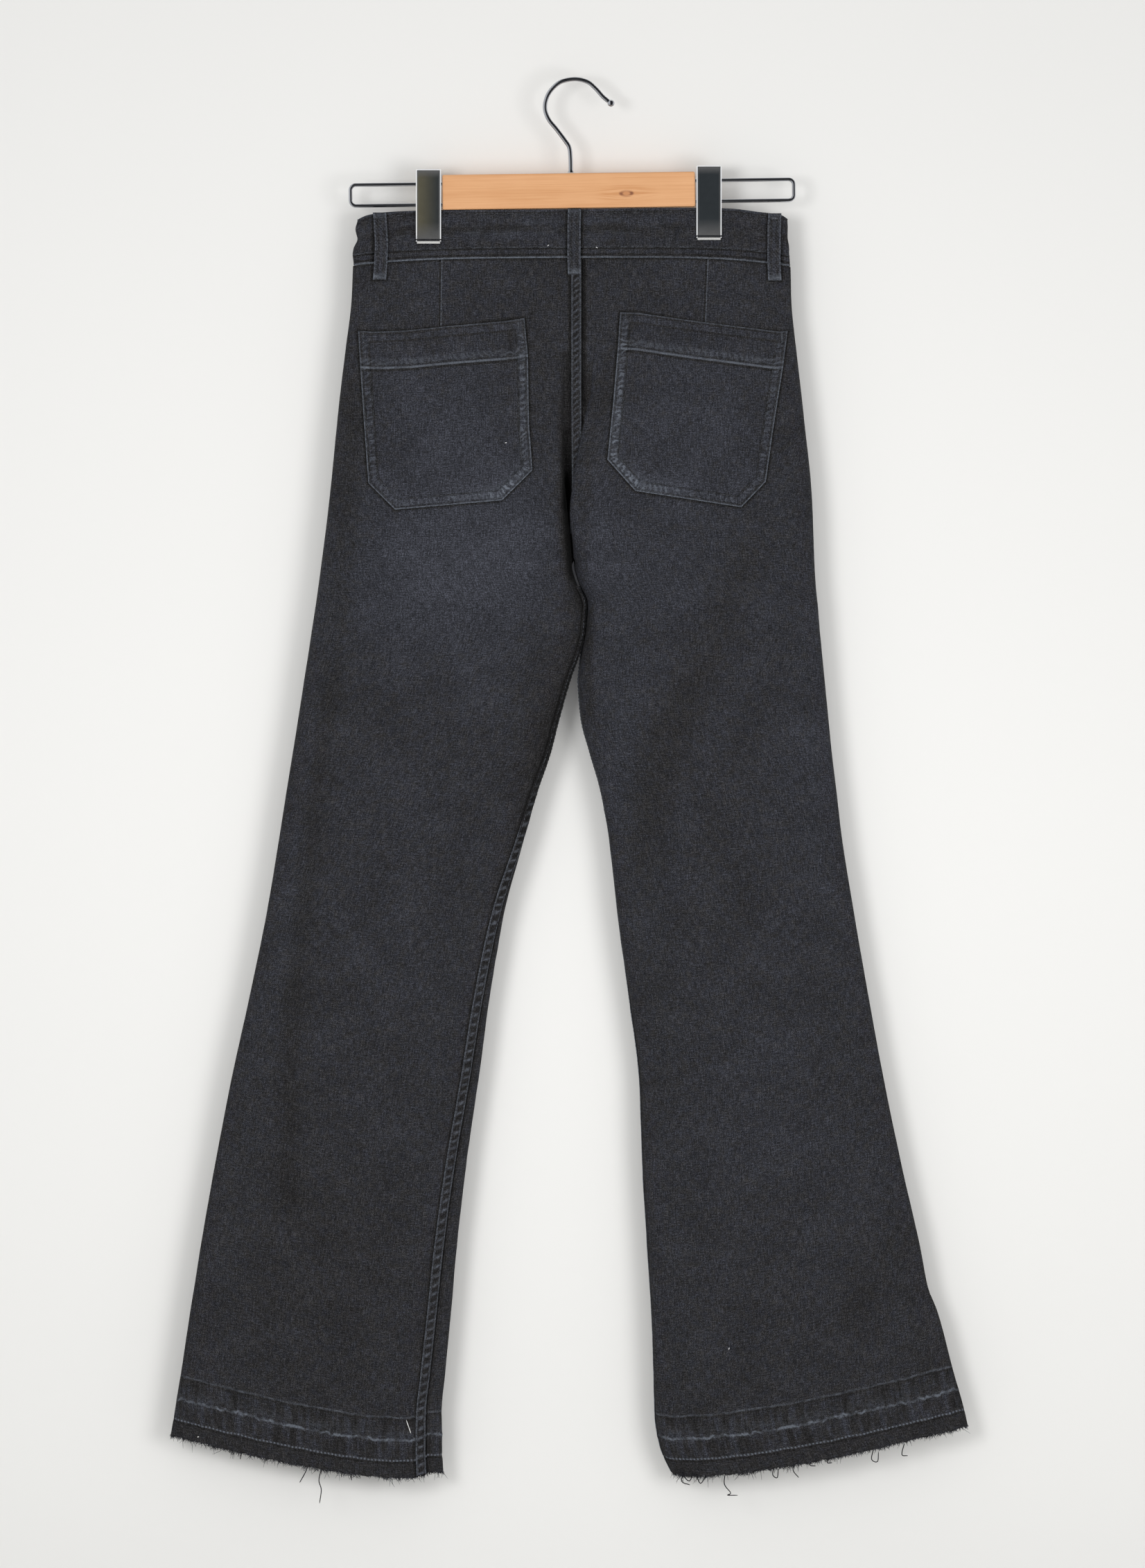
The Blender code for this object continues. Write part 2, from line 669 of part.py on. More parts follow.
def make_button(materials):
    """The waist button, a low dome on the tab end."""
    radius, height = 8.5, 3.4
    profile = [(0.0, 0.0), (0.75, 0.0), (1.0, 0.35), (1.0, 0.6), (0.8, 0.92), (0.5, 1.0), (0.0, 0.94)]
    base = BAND_HALF_DEPTH + 0.3
    mesh = bpy.data.meshes.new("waist_button")
    shape = bmesh.new()
    ring = [shape.verts.new((r * radius * MM, h * height * MM, 0.0)) for r, h in profile]
    lines = [shape.edges.new(pair) for pair in zip(ring[:-1], ring[1:])]
    bmesh.ops.spin(shape, geom=ring + lines, cent=(0, 0, 0), axis=(0, 1, 0), angle=math.tau, steps=20,
                   use_merge=True, use_duplicate=False)
    bmesh.ops.remove_doubles(shape, verts=shape.verts, dist=1e-6)
    bmesh.ops.recalc_face_normals(shape, faces=shape.faces)
    shape.to_mesh(mesh)
    shape.free()
    button = add_object("waist_button", mesh, materials["brass"])
    button.location = (4.0 * MM, base * MM, -132.0 * MM)


# Hanger

def make_hanger(materials):
    frame = bpy.data.objects.new("hanger_frame", None)
    bpy.context.collection.objects.link(frame)
    frame.location = [v * MM for v in BAR_CENTRE]
    frame.rotation_euler = (0.0, BAR_TILT, 0.0)

    mesh = bpy.data.meshes.new("bar")
    shape = bmesh.new()
    bmesh.ops.create_cube(shape, size=1.0)
    bmesh.ops.scale(shape, vec=[v * MM for v in BAR_SIZE], verts=shape.verts)
    bmesh.ops.bevel(shape, geom=shape.edges[:], offset=1.2 * MM, segments=2, affect="EDGES", profile=0.5)
    shape.to_mesh(mesh)
    shape.free()
    bar = add_object("bar", mesh, materials["wood"])
    bar.parent = frame

    for side, way in SIDES.items():
        near = BAR_SIZE[0] / 2 + 0.3
        far = 187.6 if side == "left" else 193.4
        bend, high, low = 4.5, 7.6, -10.4
        route = [(near, high), (far - bend, high)]
        route += [(far - bend + bend * math.sin(a), high - bend + bend * math.cos(a))
                  for a in np.linspace(0, math.pi / 2, 5)[1:]]
        route += [(far - bend + bend * math.cos(a), low + bend - bend * math.sin(a))
                  for a in np.linspace(0, math.pi / 2, 5)]
        route += [(near, low)]
        centres = [(way * x, 0.0, z) for x, z in route]
        wire = swept("wire_" + side, centres, [WIRE_RADIUS] * len(centres), 8, materials["steel"])
        wire.parent = frame

    hook_route = [
        (-3.3, -78.6), (-3.5, -66.0), (-4.6, -57.0), (-8.6, -50.6), (-15.6, -41.3), (-22.3, -32.9),
        (-25.4, -23.7), (-24.0, -14.4), (-19.6, -6.9), (-11.8, -0.6), (0.0, 1.8),
        (10.6, -0.4), (17.7, -6.0), (24.4, -13.4), (30.0, -18.0),
    ]
    path = curve_through(hook_route, 46)
    ball_centre = path[-1] + 1.6 * (path[-1] - path[-2]) / np.linalg.norm(path[-1] - path[-2])
    ball = [0.62, 0.92, 1.0, 0.92, 0.62, 0.2]
    along = [-0.78, -0.4, 0.0, 0.4, 0.78, 0.98]
    ahead = (path[-1] - path[-2]) / np.linalg.norm(path[-1] - path[-2])
    tip = [ball_centre + HOOK_BALL * a * ahead for a in along]
    kept = [p for p in path if np.dot(tip[0] - p, ahead) > 0.6 or p[1] < -25 or p[0] < 20]
    centres = [(x, 0.0, z) for x, z in [*kept, *tip]]
    radii = [HOOK_RADIUS] * len(kept) + [HOOK_BALL * r for r in ball]
    swept("hook", centres, radii, 10, materials["steel"])

    for side, place in CLIP_PLACES.items():
        lean = math.sin(-BAR_TILT) * place
        for part, way in (("outer", -1.0), ("inner", 1.0)):
            make_clip_jaw("clip_" + side + "_" + part, place, way, lean, materials["steel"])


def make_clip_jaw(name, place, way, lean, material):
    """One pressed jaw: a plate with side flanges, from above the wires down to its lip on the waistband."""
    profile = [
        # height, plate depth, flange reach
        (-74.4, 6.4, 4.8),
        (-81.9, 7.4, 5.8),
        (-103.5, 7.4, 5.8),
        (-107.5, 6.6, 2.8),
        (-122.0, 5.4, 2.2),
        (-132.0, 5.2, 2.0),
        (-135.4, 5.5, 2.2),
        (-138.4, 6.6, 2.4),
    ]
    half = CLIP_WIDTH / 2
    metal = CLIP_METAL
    outer, inner = [], []
    for height, plate, flange in profile:
        z = height + lean
        edge_y = plate - flange
        out = [(-half, edge_y), (-half, plate - 0.8), (-half + 0.8, plate),
               (half - 0.8, plate), (half, plate - 0.8), (half, edge_y)]
        within = [(-half + metal, edge_y), (-half + metal, plate - metal - 0.3),
                  (-half + metal + 0.3, plate - metal), (half - metal - 0.3, plate - metal),
                  (half - metal, plate - metal - 0.3), (half - metal, edge_y)]
        outer.append([(place + x, way * y, z) for x, y in out])
        inner.append([(place + x, way * y, z) for x, y in within])
    shell(name, np.array(outer), np.array(inner), material)


def main():
    clear_scene()
    materials = make_materials()
    grids = make_panels(materials)
    make_seam_strips(grids, materials)
    make_pockets(materials)
    make_fly(materials)
    make_front_pocket_edges(materials)
    make_waistband(materials)
    make_belt_loops(materials)
    make_button(materials)
    make_hanger(materials)


main()
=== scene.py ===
# Bootcut jeans on a clip hanger: the looks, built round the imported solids.
# Lengths in the dictionaries are millimetres where no note says metres, and meshes are made in metres.
# X is the wearer's right, -Y the jeans' back, Z up, and the origin is the hook's inner crown.

import math

import bpy
import numpy as np
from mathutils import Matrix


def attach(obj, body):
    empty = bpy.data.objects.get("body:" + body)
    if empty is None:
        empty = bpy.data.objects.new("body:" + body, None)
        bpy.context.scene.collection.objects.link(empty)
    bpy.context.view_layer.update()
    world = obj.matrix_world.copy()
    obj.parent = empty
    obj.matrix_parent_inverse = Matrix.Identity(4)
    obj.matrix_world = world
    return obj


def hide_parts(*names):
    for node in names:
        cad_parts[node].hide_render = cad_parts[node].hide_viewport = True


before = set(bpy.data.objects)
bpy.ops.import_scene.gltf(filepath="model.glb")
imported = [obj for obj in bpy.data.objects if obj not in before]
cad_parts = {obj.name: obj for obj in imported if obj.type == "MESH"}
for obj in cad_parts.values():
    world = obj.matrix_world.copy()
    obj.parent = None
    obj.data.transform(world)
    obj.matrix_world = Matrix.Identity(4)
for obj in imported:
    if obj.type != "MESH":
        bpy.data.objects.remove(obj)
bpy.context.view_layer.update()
print("frame loaded:", len(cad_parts), "nodes")

mm = 0.001
sides = {"left": -1.0, "right": 1.0}


# Small tools for arrays

def smoothCurve(rows, column, at):
    # a monotone cubic through one column of a table whose first column is the place
    table = np.array(rows, float)
    table = table[np.argsort(table[:, 0])]
    x, y = table[:, 0], table[:, column]
    step = np.diff(x)
    slope = np.diff(y) / step
    tangent = np.concatenate([[slope[0]], np.zeros(len(x) - 2), [slope[-1]]])
    before, after = 2 * step[1:] + step[:-1], step[1:] + 2 * step[:-1]
    same = slope[:-1] * slope[1:] > 0
    safe = np.where(slope == 0, 1.0, slope)
    tangent[1:-1] = np.where(same, (before + after) / (before / safe[:-1] + after / safe[1:]), 0.0)
    at = np.clip(np.asarray(at, float), x[0], x[-1])
    k = np.clip(np.searchsorted(x, at, side="right") - 1, 0, len(step) - 1)
    t = (at - x[k]) / step[k]
    return (
        y[k] * (1 + 2 * t) * (1 - t) ** 2
        + step[k] * tangent[k] * t * (1 - t) ** 2
        + y[k + 1] * t * t * (3 - 2 * t)
        + step[k] * tangent[k + 1] * t * t * (t - 1)
    )


def smoothStep(value):
    # 3 v^2 - 2 v^3 of a value held between 0 and 1
    value = np.clip(value, 0.0, 1.0)
    return value * value * (3 - 2 * value)


def bump(distance, width):
    # a bell: 1 at no distance, fading over the width
    return np.exp(-((distance / width) ** 2))


def valueNoise(x, y, size, seed):
    # smooth noise from -1 to 1: random values on a lattice, blended between its corners
    lattice = np.random.default_rng(seed).uniform(-1, 1, (97, 97))
    x, y = np.asarray(x, float) / size, np.asarray(y, float) / size
    i, j = np.floor(x).astype(int), np.floor(y).astype(int)
    u, v = smoothStep(x - i), smoothStep(y - j)
    corner = [[lattice[(i + a) % 97, (j + b) % 97] for b in (0, 1)] for a in (0, 1)]
    low = corner[0][0] * (1 - v) + corner[0][1] * v
    high = corner[1][0] * (1 - v) + corner[1][1] * v
    return low * (1 - u) + high * u


def lineDistance(x, z, points):
    # distance to a chain of straight runs, and the length along the chain of the nearest place
    points = np.array(points, float)
    best, along, run = np.full(np.shape(x), 1e9), np.zeros(np.shape(x)), 0.0
    for (x0, z0), (x1, z1) in zip(points[:-1], points[1:]):
        length = max(math.hypot(x1 - x0, z1 - z0), 1e-9)
        t = np.clip(((x - x0) * (x1 - x0) + (z - z0) * (z1 - z0)) / length**2, 0, 1)
        away = np.hypot(x - x0 - t * (x1 - x0), z - z0 - t * (z1 - z0))
        along = np.where(away < best, run + t * length, along)
        best = np.minimum(best, away)
        run += length
    return best, along


def runLengths(points):
    # lengths along each row of points
    step = np.linalg.norm(np.diff(points, axis=1), axis=2)
    return np.concatenate([np.zeros((len(points), 1)), np.cumsum(step, axis=1)], axis=1)


def pathRuns(path):
    # lengths along one path of points
    return np.concatenate([[0.0], np.cumsum(np.linalg.norm(np.diff(path, axis=0), axis=1))])


def alongPath(where, runs, path):
    # the path read at some lengths, each column by straight blending
    return np.stack([np.interp(where, runs, path[:, k]) for k in range(path.shape[1])], -1)


def nearestTo(places, place):
    # index of the place nearest to a given one
    return int(np.argmin(np.abs(places - place)))


def facing(way, count):
    # outward directions of a row that looks to the back (-1) or the front (1)
    return np.tile([0.0, way, 0.0], (count, 1))


def atRuns(points, lengths, where):
    # each row's points read at the given lengths, all rows at once
    far = float(lengths.max()) + 10.0
    base = np.arange(len(points))[:, None] * far
    flat = (lengths + base).ravel()
    want = (np.clip(where, 0, lengths[:, -1:]) + base).ravel()
    read = [np.interp(want, flat, points[:, :, k].ravel()) for k in range(points.shape[2])]
    return np.stack(read, axis=-1).reshape(*where.shape, -1)


def unit(vectors):
    # each vector divided by its length
    return vectors / np.maximum(np.linalg.norm(vectors, axis=-1, keepdims=True), 1e-9)


def quarterRound(edge, reach=0.9, least=0.4):
    # share of a piece's thickness that is left near its edges: a quarter round from least to 1
    near = np.clip(edge / reach, 0, 1)
    return least + (1 - least) * np.sqrt(1 - (1 - near) ** 2)


def spaced(length, step, edge=(0.35, 0.9, 1.8)):
    # places from 0 to the length, close together at both ends so that an edge can round over
    edge = np.array(edge)
    middle = np.linspace(edge[-1], length - edge[-1], max(2, int(round((length - 2 * edge[-1]) / step)) + 1))
    return np.concatenate([[0.0], edge[:-1], middle, length - edge[:-1][::-1], [length]])


def edgeFall(places, length, reach=0.9, least=0.4):
    # the same along a row of places: from both of its ends
    return quarterRound(np.minimum(places, length - places), reach, least)


# Meshes

def placed(name, data):
    # a new object in the scene
    thing = bpy.data.objects.new(name, data)
    bpy.context.scene.collection.objects.link(thing)
    return thing


def meshObject(name, points, faces, material, maps=None, values=None, smoothAngle=45):
    # a closed mesh from arrays in millimetres, its faces turned outward by the sign of its volume
    kept = [faces] if isinstance(faces, np.ndarray) else faces
    volume = 0.0
    for part in kept:
        corner = points[part]
        for k in range(1, part.shape[1] - 1):
            wedge = np.cross(corner[:, k] - corner[:, 0], corner[:, k + 1] - corner[:, 0])
            volume += np.sum(corner[:, 0] * wedge)
    if volume < 0:
        kept = [part[:, ::-1] for part in kept]
    mesh = bpy.data.meshes.new(name)
    mesh.from_pydata((points * mm).tolist(), [], [face for part in kept for face in part.tolist()])
    loops = np.empty(len(mesh.loops), int)
    mesh.loops.foreach_get("vertex_index", loops)
    for mapName, pair in (maps or {}).items():
        layer = mesh.uv_layers.new(name=mapName)
        layer.data.foreach_set("uv", np.asarray(pair, np.float32)[loops].ravel())
    for valueName, value in (values or {}).items():
        layer = mesh.attributes.new(valueName, "FLOAT", "POINT")
        layer.data.foreach_set("value", np.asarray(value, np.float32).ravel())
    mesh.materials.append(material)
    mesh.update()
    mesh.shade_smooth()
    mesh.set_sharp_from_angle(angle=math.radians(smoothAngle))
    thing = placed(name, mesh)
    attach(thing, "root")
    return thing


def gridFaces(rows, columns, closed=False):
    # four-sided faces of a grid of points; a closed one joins its last column to its first
    index = np.arange(rows * columns).reshape(rows, columns)
    if closed:
        index = np.concatenate([index, index[:, :1]], axis=1)
    return np.stack([index[:-1, :-1], index[:-1, 1:], index[1:, 1:], index[1:, :-1]], axis=-1).reshape(-1, 4)


def wall(name, outer, inner, material, cloth, values=None):
    # a sheet with thickness: an outer grid, an inner grid and a rim that joins their borders
    rows, columns = outer.shape[:2]
    count = rows * columns
    face = gridFaces(rows, columns)
    index = np.arange(count).reshape(rows, columns)
    rim = np.concatenate([index[0, :-1], index[:-1, -1], index[-1, :0:-1], index[:0:-1, 0]])
    after = np.roll(rim, -1)
    band = np.stack([after, rim, rim + count, after + count], axis=-1)
    faces = np.concatenate([face, face[:, ::-1] + count, band])
    points = np.concatenate([outer.reshape(-1, 3), inner.reshape(-1, 3)])
    maps = {"cloth": np.tile(cloth.reshape(-1, 2) * 0.01, (2, 1))}
    both = {key: np.tile(np.broadcast_to(value, (rows, columns)).ravel(), 2)
            for key, value in (values or {}).items()}
    return meshObject(name, points, faces, material, maps, both)


def sweptTube(centres, radii, corners, side=(0.0, 1.0, 0.0)):
    # rings of points round a path: each ring lies square to the path's direction
    ahead = unit(np.gradient(centres, axis=0))
    first = unit(np.cross(np.broadcast_to(side, ahead.shape), ahead))
    second = np.cross(ahead, first)
    turn = (np.arange(corners) + 0.5) * 2 * math.pi / corners
    radii = np.broadcast_to(np.asarray(radii, float), (len(centres),))
    ring = first[:, None] * np.cos(turn)[None, :, None] + second[:, None] * np.sin(turn)[None, :, None]
    return (centres[:, None] + ring * radii[:, None, None]).reshape(-1, 3)


def tubeFaces(rows, corners):
    # the sides of a tube of rings and its two end caps
    caps = np.stack([np.arange(corners)[::-1], np.arange(corners) + (rows - 1) * corners])
    return [gridFaces(rows, corners, closed=True), caps]


def manyOf(points, faces, count):
    # the same faces repeated for each copy in a list of points
    size = len(points) // count
    shift = np.arange(count)[:, None, None] * size
    return [(part[None] + shift).reshape(-1, part.shape[1]) for part in faces]


def stitchPoints(path, outward, pitch, length, thickness, lift=0.1, slant=0.0, seed=1):
    # raised stitches along a path: spindles of four sides whose ends dip into the cloth
    run = pathRuns(path)
    count = max(1, int(run[-1] / pitch))
    jitter = np.random.default_rng(seed).uniform(-0.12, 0.12, (2, count)) * pitch
    middle = (np.arange(count) + 0.5) * run[-1] / count + jitter[0]
    half = length / 2 + jitter[1] * 0.4
    start, end = (alongPath(np.clip(middle + way * half, 0, run[-1]), run, path) for way in (-1, 1))
    normal = unit(alongPath(middle, run, outward))
    side = np.cross(unit(end - start), normal)
    shares, radii = np.array([0.0, 0.2, 0.5, 0.8, 1.0]), np.array([0.4, 0.9, 1.0, 0.9, 0.4])
    heights = np.array([-0.7, 0.35, 0.6, 0.35, -0.7])
    spot = start[:, None] + (end - start)[:, None] * shares[None, :, None]
    spot = spot + normal[:, None] * (lift + heights * thickness / 2)[None, :, None]
    spot = spot + side[:, None] * (slant * (shares - 0.5))[None, :, None]
    radii = (radii * thickness / 2)[None, :, None]
    ring = [spot + (side[:, None] * math.cos(a) + normal[:, None] * math.sin(a)) * radii
            for a in np.arange(4) * math.pi / 2 + math.pi / 4]
    return np.stack(ring, axis=2).reshape(-1, 3), count


def stitches(name, rows, material, pitch=3.0, length=2.3, thickness=0.62, lift=0.1, slant=0.0):
    # one piece that holds several rows of stitches; each row is a path and its outward directions
    made = [stitchPoints(p, n, pitch, length, thickness, lift, slant, 7 + k) for k, (p, n) in enumerate(rows)]
    points = np.concatenate([m[0] for m in made])
    faces = manyOf(points, tubeFaces(5, 4), sum(m[1] for m in made))
    piece = meshObject(name, points, faces, material)


def smoothPath(points, count):
    # even places along a smooth curve through the points: each span blends its four nearest points
    points = np.asarray(points, float)
    ends = np.concatenate([[2 * points[0] - points[1]], points, [2 * points[-1] - points[-2]]])
    p0, p1, p2, p3 = (ends[k : len(ends) - 3 + k][:, None] for k in range(4))
    t = np.linspace(0, 1, 16, endpoint=False)[None, :, None]
    fine = 0.5 * (2 * p1 + (p2 - p0) * t + (2 * p0 - 5 * p1 + 4 * p2 - p3) * t**2
                  + (3 * p1 - p0 - 3 * p2 + p3) * t**3)
    fine = np.concatenate([fine.reshape(-1, points.shape[1]), points[-1:]])
    run = pathRuns(fine)
    return alongPath(np.linspace(0, run[-1], count), run, fine)


# Materials

class Tone:
    # a value over a surface: a socket that adds, subtracts and multiplies like a number, as math nodes
    def __init__(self, tree, socket):
        self.tree, self.socket = tree, socket

    def __add__(self, other):
        return combine("ADD", self, other)

    def __sub__(self, other):
        return combine("SUBTRACT", self, other)

    def __rsub__(self, other):
        return combine("SUBTRACT", other, self)

    def __mul__(self, other):
        return combine("MULTIPLY", self, other)

    __radd__, __rmul__ = __add__, __mul__


def join(value, socket):
    # a tone is linked to the socket, and a plain value is set on it
    if isinstance(value, Tone):
        value.tree.links.new(value.socket, socket)
    else:
        socket.default_value = value


def addNode(tree, kind, inputs=None, output=0, **settings):
    # a new node with its settings and inputs, given back as the tone of one output
    node = tree.nodes.new(kind)
    for key, value in settings.items():
        setattr(node, key, value)
    for key, value in (inputs or {}).items():
        join(value, node.inputs[key])
    return Tone(tree, node.outputs[output])


def combine(operation, *terms, clamp=False):
    # one math node; its terms are numbers or tones
    tree = next(term.tree for term in terms if isinstance(term, Tone))
    return addNode(tree, "ShaderNodeMath", dict(enumerate(terms)), operation=operation, use_clamp=clamp)


def ramped(tone, low, high, fromLow=0.0, fromHigh=1.0):
    # the tone carried smoothly from one range to another
    return addNode(tone.tree, "ShaderNodeMapRange", {0: tone, 1: fromLow, 2: fromHigh, 3: low, 4: high},
                   interpolation_type="SMOOTHSTEP")


def lineMask(tone, centre, half, soft):
    # 1 within the half width of a centre line, fading over the soft width
    return ramped(combine("ABSOLUTE", tone - centre), 1.0, 0.0, half, half + soft)


def noiseOf(vector, scale, detail=2.0, roughness=0.6, stretch=(1, 1, 1), place=(0, 0, 0)):
    # noise on a vector that may first be stretched and moved
    if stretch != (1, 1, 1) or any(place):
        spread = {"Vector": vector, "Scale": stretch, "Location": place}
        vector = addNode(vector.tree, "ShaderNodeMapping", spread)
    look = {"Vector": vector, "Scale": scale, "Detail": detail, "Roughness": roughness}
    return addNode(vector.tree, "ShaderNodeTexNoise", look, "Fac")


def clothNoise(cloth, size, detail=2.0, roughness=0.6, place=(0, 0, 0)):
    # noise on the cloth map by its size in millimetres, or by its sizes across and along the cloth
    if isinstance(size, tuple):
        return noiseOf(cloth, 1.0, detail, roughness, (100 / size[0], 100 / size[1], 1), place)
    return noiseOf(cloth, 100 / size, detail, roughness, place=place)


def mixColour(share, low, high, blend="MIX"):
    # two colours blended by a share, or multiplied
    tree = next(part.tree for part in (share, low, high) if isinstance(part, Tone))
    return addNode(tree, "ShaderNodeMix", {0: share, 6: low, 7: high}, 2, data_type="RGBA", blend_type=blend)


def bumped(height, strength, distance):
    # a normal from heights, its distance in millimetres
    return addNode(height.tree, "ShaderNodeBump",
                   {"Strength": strength, "Distance": distance * mm, "Height": height})


def axesOf(vector):
    # the vector's three numbers, as tones
    return [Tone(vector.tree, socket) for socket in addNode(
        vector.tree, "ShaderNodeSeparateXYZ", {0: vector}).socket.node.outputs]


def objectPlace(tree):
    return addNode(tree, "ShaderNodeTexCoord", output="Object")


def newGroup(name, takes, gives):
    # an empty node group with its input and output sockets
    group = bpy.data.node_groups.new(name, "ShaderNodeTree")
    for socketName, kind, value in takes:
        socket = group.interface.new_socket(socketName, in_out="INPUT", socket_type=kind)
        if value is not None:
            socket.default_value = value
    for socketName, kind in gives:
        group.interface.new_socket(socketName, in_out="OUTPUT", socket_type=kind)
    return group, group.nodes.new("NodeGroupInput"), group.nodes.new("NodeGroupOutput")


def rgb(red, green, blue):
    return (red, green, blue, 1.0)


denimLook = {
    "dark": rgb(0.0090, 0.0090, 0.0098),
    "middle": rgb(0.0226, 0.0228, 0.0251),
    "light": rgb(0.0585, 0.0600, 0.0685),
    "worn": rgb(0.120, 0.134, 0.160),
    "fresh": rgb(1.05, 1.0, 0.93),
    "fadedAndShaded": rgb(0.965, 1.0, 1.12),
    "grainSize": 1.15,
    "heatherSize": 2.6,
    "slubWidth": 1.0,
    "slubLength": 9.0,
    "weftWidth": 1.0,
    "weftLength": 6.0,
    "twillPitch": 1.25,
    "cloudSize": 34.0,
    "dyeSize": 7.0,
}


def makeDenimGroup():
    # dark twill: its lightness sums grain, slubs along the warp, slanted ribs and slow clouds, and wear
    # lightens it
    look = denimLook
    group, start, end = newGroup(
        "denimCloth",
        [("Vector", "NodeSocketVector", None), ("Fade", "NodeSocketFloat", 1.0),
         ("Wear", "NodeSocketFloat", 0.0)],
        [("Color", "NodeSocketColor"), ("Roughness", "NodeSocketFloat"), ("Height", "NodeSocketFloat")],
    )
    cloth, fade, wear = (Tone(group, start.outputs[name]) for name in ("Vector", "Fade", "Wear"))
    grain = clothNoise(cloth, look["grainSize"], 3.0, 0.75)
    heather = clothNoise(cloth, look["heatherSize"], 2.0, 0.7, (1.3, 0.4, 0))
    slub = clothNoise(cloth, (look["slubWidth"], look["slubLength"]), 2.0, 0.6)
    weft = clothNoise(cloth, (look["weftLength"], look["weftWidth"]), 1.0, 0.5, (3.1, 1.7, 0))
    cloud = clothNoise(cloth, look["cloudSize"], 3.0, 0.55)
    across, along = axesOf(cloth)[:2]
    rate = 2 * math.pi * 100 / look["twillPitch"]
    ribs = combine("SINE", 0.86 * rate * across + 0.5 * rate * along + 3.0 * grain)
    light = (2.6 * (grain - 0.5) + 0.465 + 0.28 * (heather - 0.5) + 1.1 * (slub - 0.5) + 0.8 * (weft - 0.5)
             + 0.36 * (cloud - 0.5) + 0.07 * ribs)
    ramp = addNode(group, "ShaderNodeValToRGB", {0: light})
    stops = ramp.socket.node.color_ramp.elements
    stops[0].position, stops[1].position = 0.0, 1.0
    stops[0].color, stops[1].color = look["dark"], look["light"]
    stops.new(0.48).color = look["middle"]
    # the ramp's colour is scaled by the piece's fade and painted light and shade, and tinted bluer where
    # these are high
    fadedAndShaded = addNode(group, "ShaderNodeVectorMath", {0: ramp, "Scale": fade}, operation="SCALE")
    dyeAndShade = 1.5 * (clothNoise(cloth, look["dyeSize"], 3.0, 0.7, (5.0, 2.0, 0)) - 0.5) + fade
    tint = mixColour(ramped(dyeAndShade, 0.0, 1.0, 0.6, 1.3), look["fresh"], look["fadedAndShaded"])
    tinted = mixColour(1.0, fadedAndShaded, tint, "MULTIPLY")
    patchy = combine("MULTIPLY", wear, 2.6 * (grain - 0.5) + 1.0, clamp=True)
    join(mixColour(patchy, tinted, look["worn"]), end.inputs["Color"])
    join(ramped(light, 0.95, 0.82), end.inputs["Roughness"])
    join(0.3 * ribs + (grain + slub), end.inputs["Height"])
    return group


def startMaterial(name):
    material = bpy.data.materials.new(name)
    material.use_nodes = True
    return material, material.node_tree


def dress(material, inputs):
    # the material's shader takes tones by link and plain values on its own sockets
    for key, value in inputs.items():
        join(value, material.node_tree.nodes["Principled BSDF"].inputs[key])
    return material


def attribute(tree, name):
    # a number kept on the piece's points
    return addNode(tree, "ShaderNodeAttribute", output="Fac", attribute_name=name)


def denimMaterial(name, wearOf):
    # denim on a piece's own cloth map; wearOf works out the piece's wear and shade from its attributes
    material, tree = startMaterial(name)
    cloth = addNode(tree, "ShaderNodeUVMap", uv_map="cloth")
    wear, fade = wearOf(cloth, attribute(tree, "wear"), attribute(tree, "fade"))
    body = addNode(tree, "ShaderNodeGroup", {"Vector": cloth, "Fade": fade, "Wear": wear},
                   node_tree=denimGroup).socket.node.outputs
    colour, roughness, height = (Tone(tree, body[key]) for key in ("Color", "Roughness", "Height"))
    return dress(material, {
        "Base Color": colour, "Roughness": roughness, "Normal": bumped(height, 0.55, 0.13),
        "Specular IOR Level": 0.14, "Sheen Weight": 0.03, "Sheen Roughness": 0.5})


denimGroup = makeDenimGroup()
print("tools and denim ready")


# The legs: the same named forms as the solids, read at any height at once

legForm = {
    "cloth": 1.3,
    "seamGap": 0.4,
    "bandGap": 0.45,
    "hairpin": 2.6,
    "crotch": -412.0,
    "waist": -152.0,
    "roundingPower": 2.4,
    "hems": {
        "left": {"height": -1195.0, "rise": 31.0, "power": 1.35, "bow": 7.5},
        "right": {"height": -1196.0, "rise": 40.0, "power": 1.4, "bow": 5.0},
    },
}
# height, left outer, left inner, right inner, right outer
legEdges = [
    (-152, -190.4, -2.4, 0.0, 185.6), (-181, -191.6, -2.4, 0.0, 186.2), (-228, -196.6, -2.4, 0.0, 190.4),
    (-288, -203.5, -2.4, 0.0, 196.9), (-359, -210.6, -2.4, 0.0, 204.1), (-416, -217.6, -2.4, 0.0, 206.2),
    (-431, -219.6, 1.2, 3.6, 207.1), (-450, -222.3, 8.9, 11.3, 208.9), (-470, -225.4, 7.7, 9.7, 210.6),
    (-489, -228.3, 4.2, 6.8, 212.4), (-516, -232.6, -5.4, 3.6, 215.0), (-547, -237.4, -13.7, 5.9, 218.0),
    (-577, -242.2, -21.1, 13.6, 221.0), (-609, -247.4, -32.1, 22.6, 225.0),
    (-645, -252.9, -41.6, 29.2, 229.1), (-716, -264.8, -60.7, 37.5, 240.4),
    (-788, -279.6, -72.6, 47.6, 252.9), (-859, -295.1, -82.1, 56.5, 266.0),
    (-931, -308.8, -92.8, 58.9, 280.8), (-1002, -321.3, -101.1, 63.1, 296.9),
    (-1038, -327.0, -104.4, 65.4, 304.0), (-1056, -330.0, -106.0, 66.6, 311.2),
    (-1109, -338.0, -111.0, 68.7, 325.5), (-1145, -343.9, -114.2, 69.6, 335.6),
    (-1172, -348.5, -114.0, 73.8, 341.0), (-1200, -352.8, -112.5, 86.0, 346.9),
]
edgeColumns = {"left": (1, 2), "right": (4, 3)}
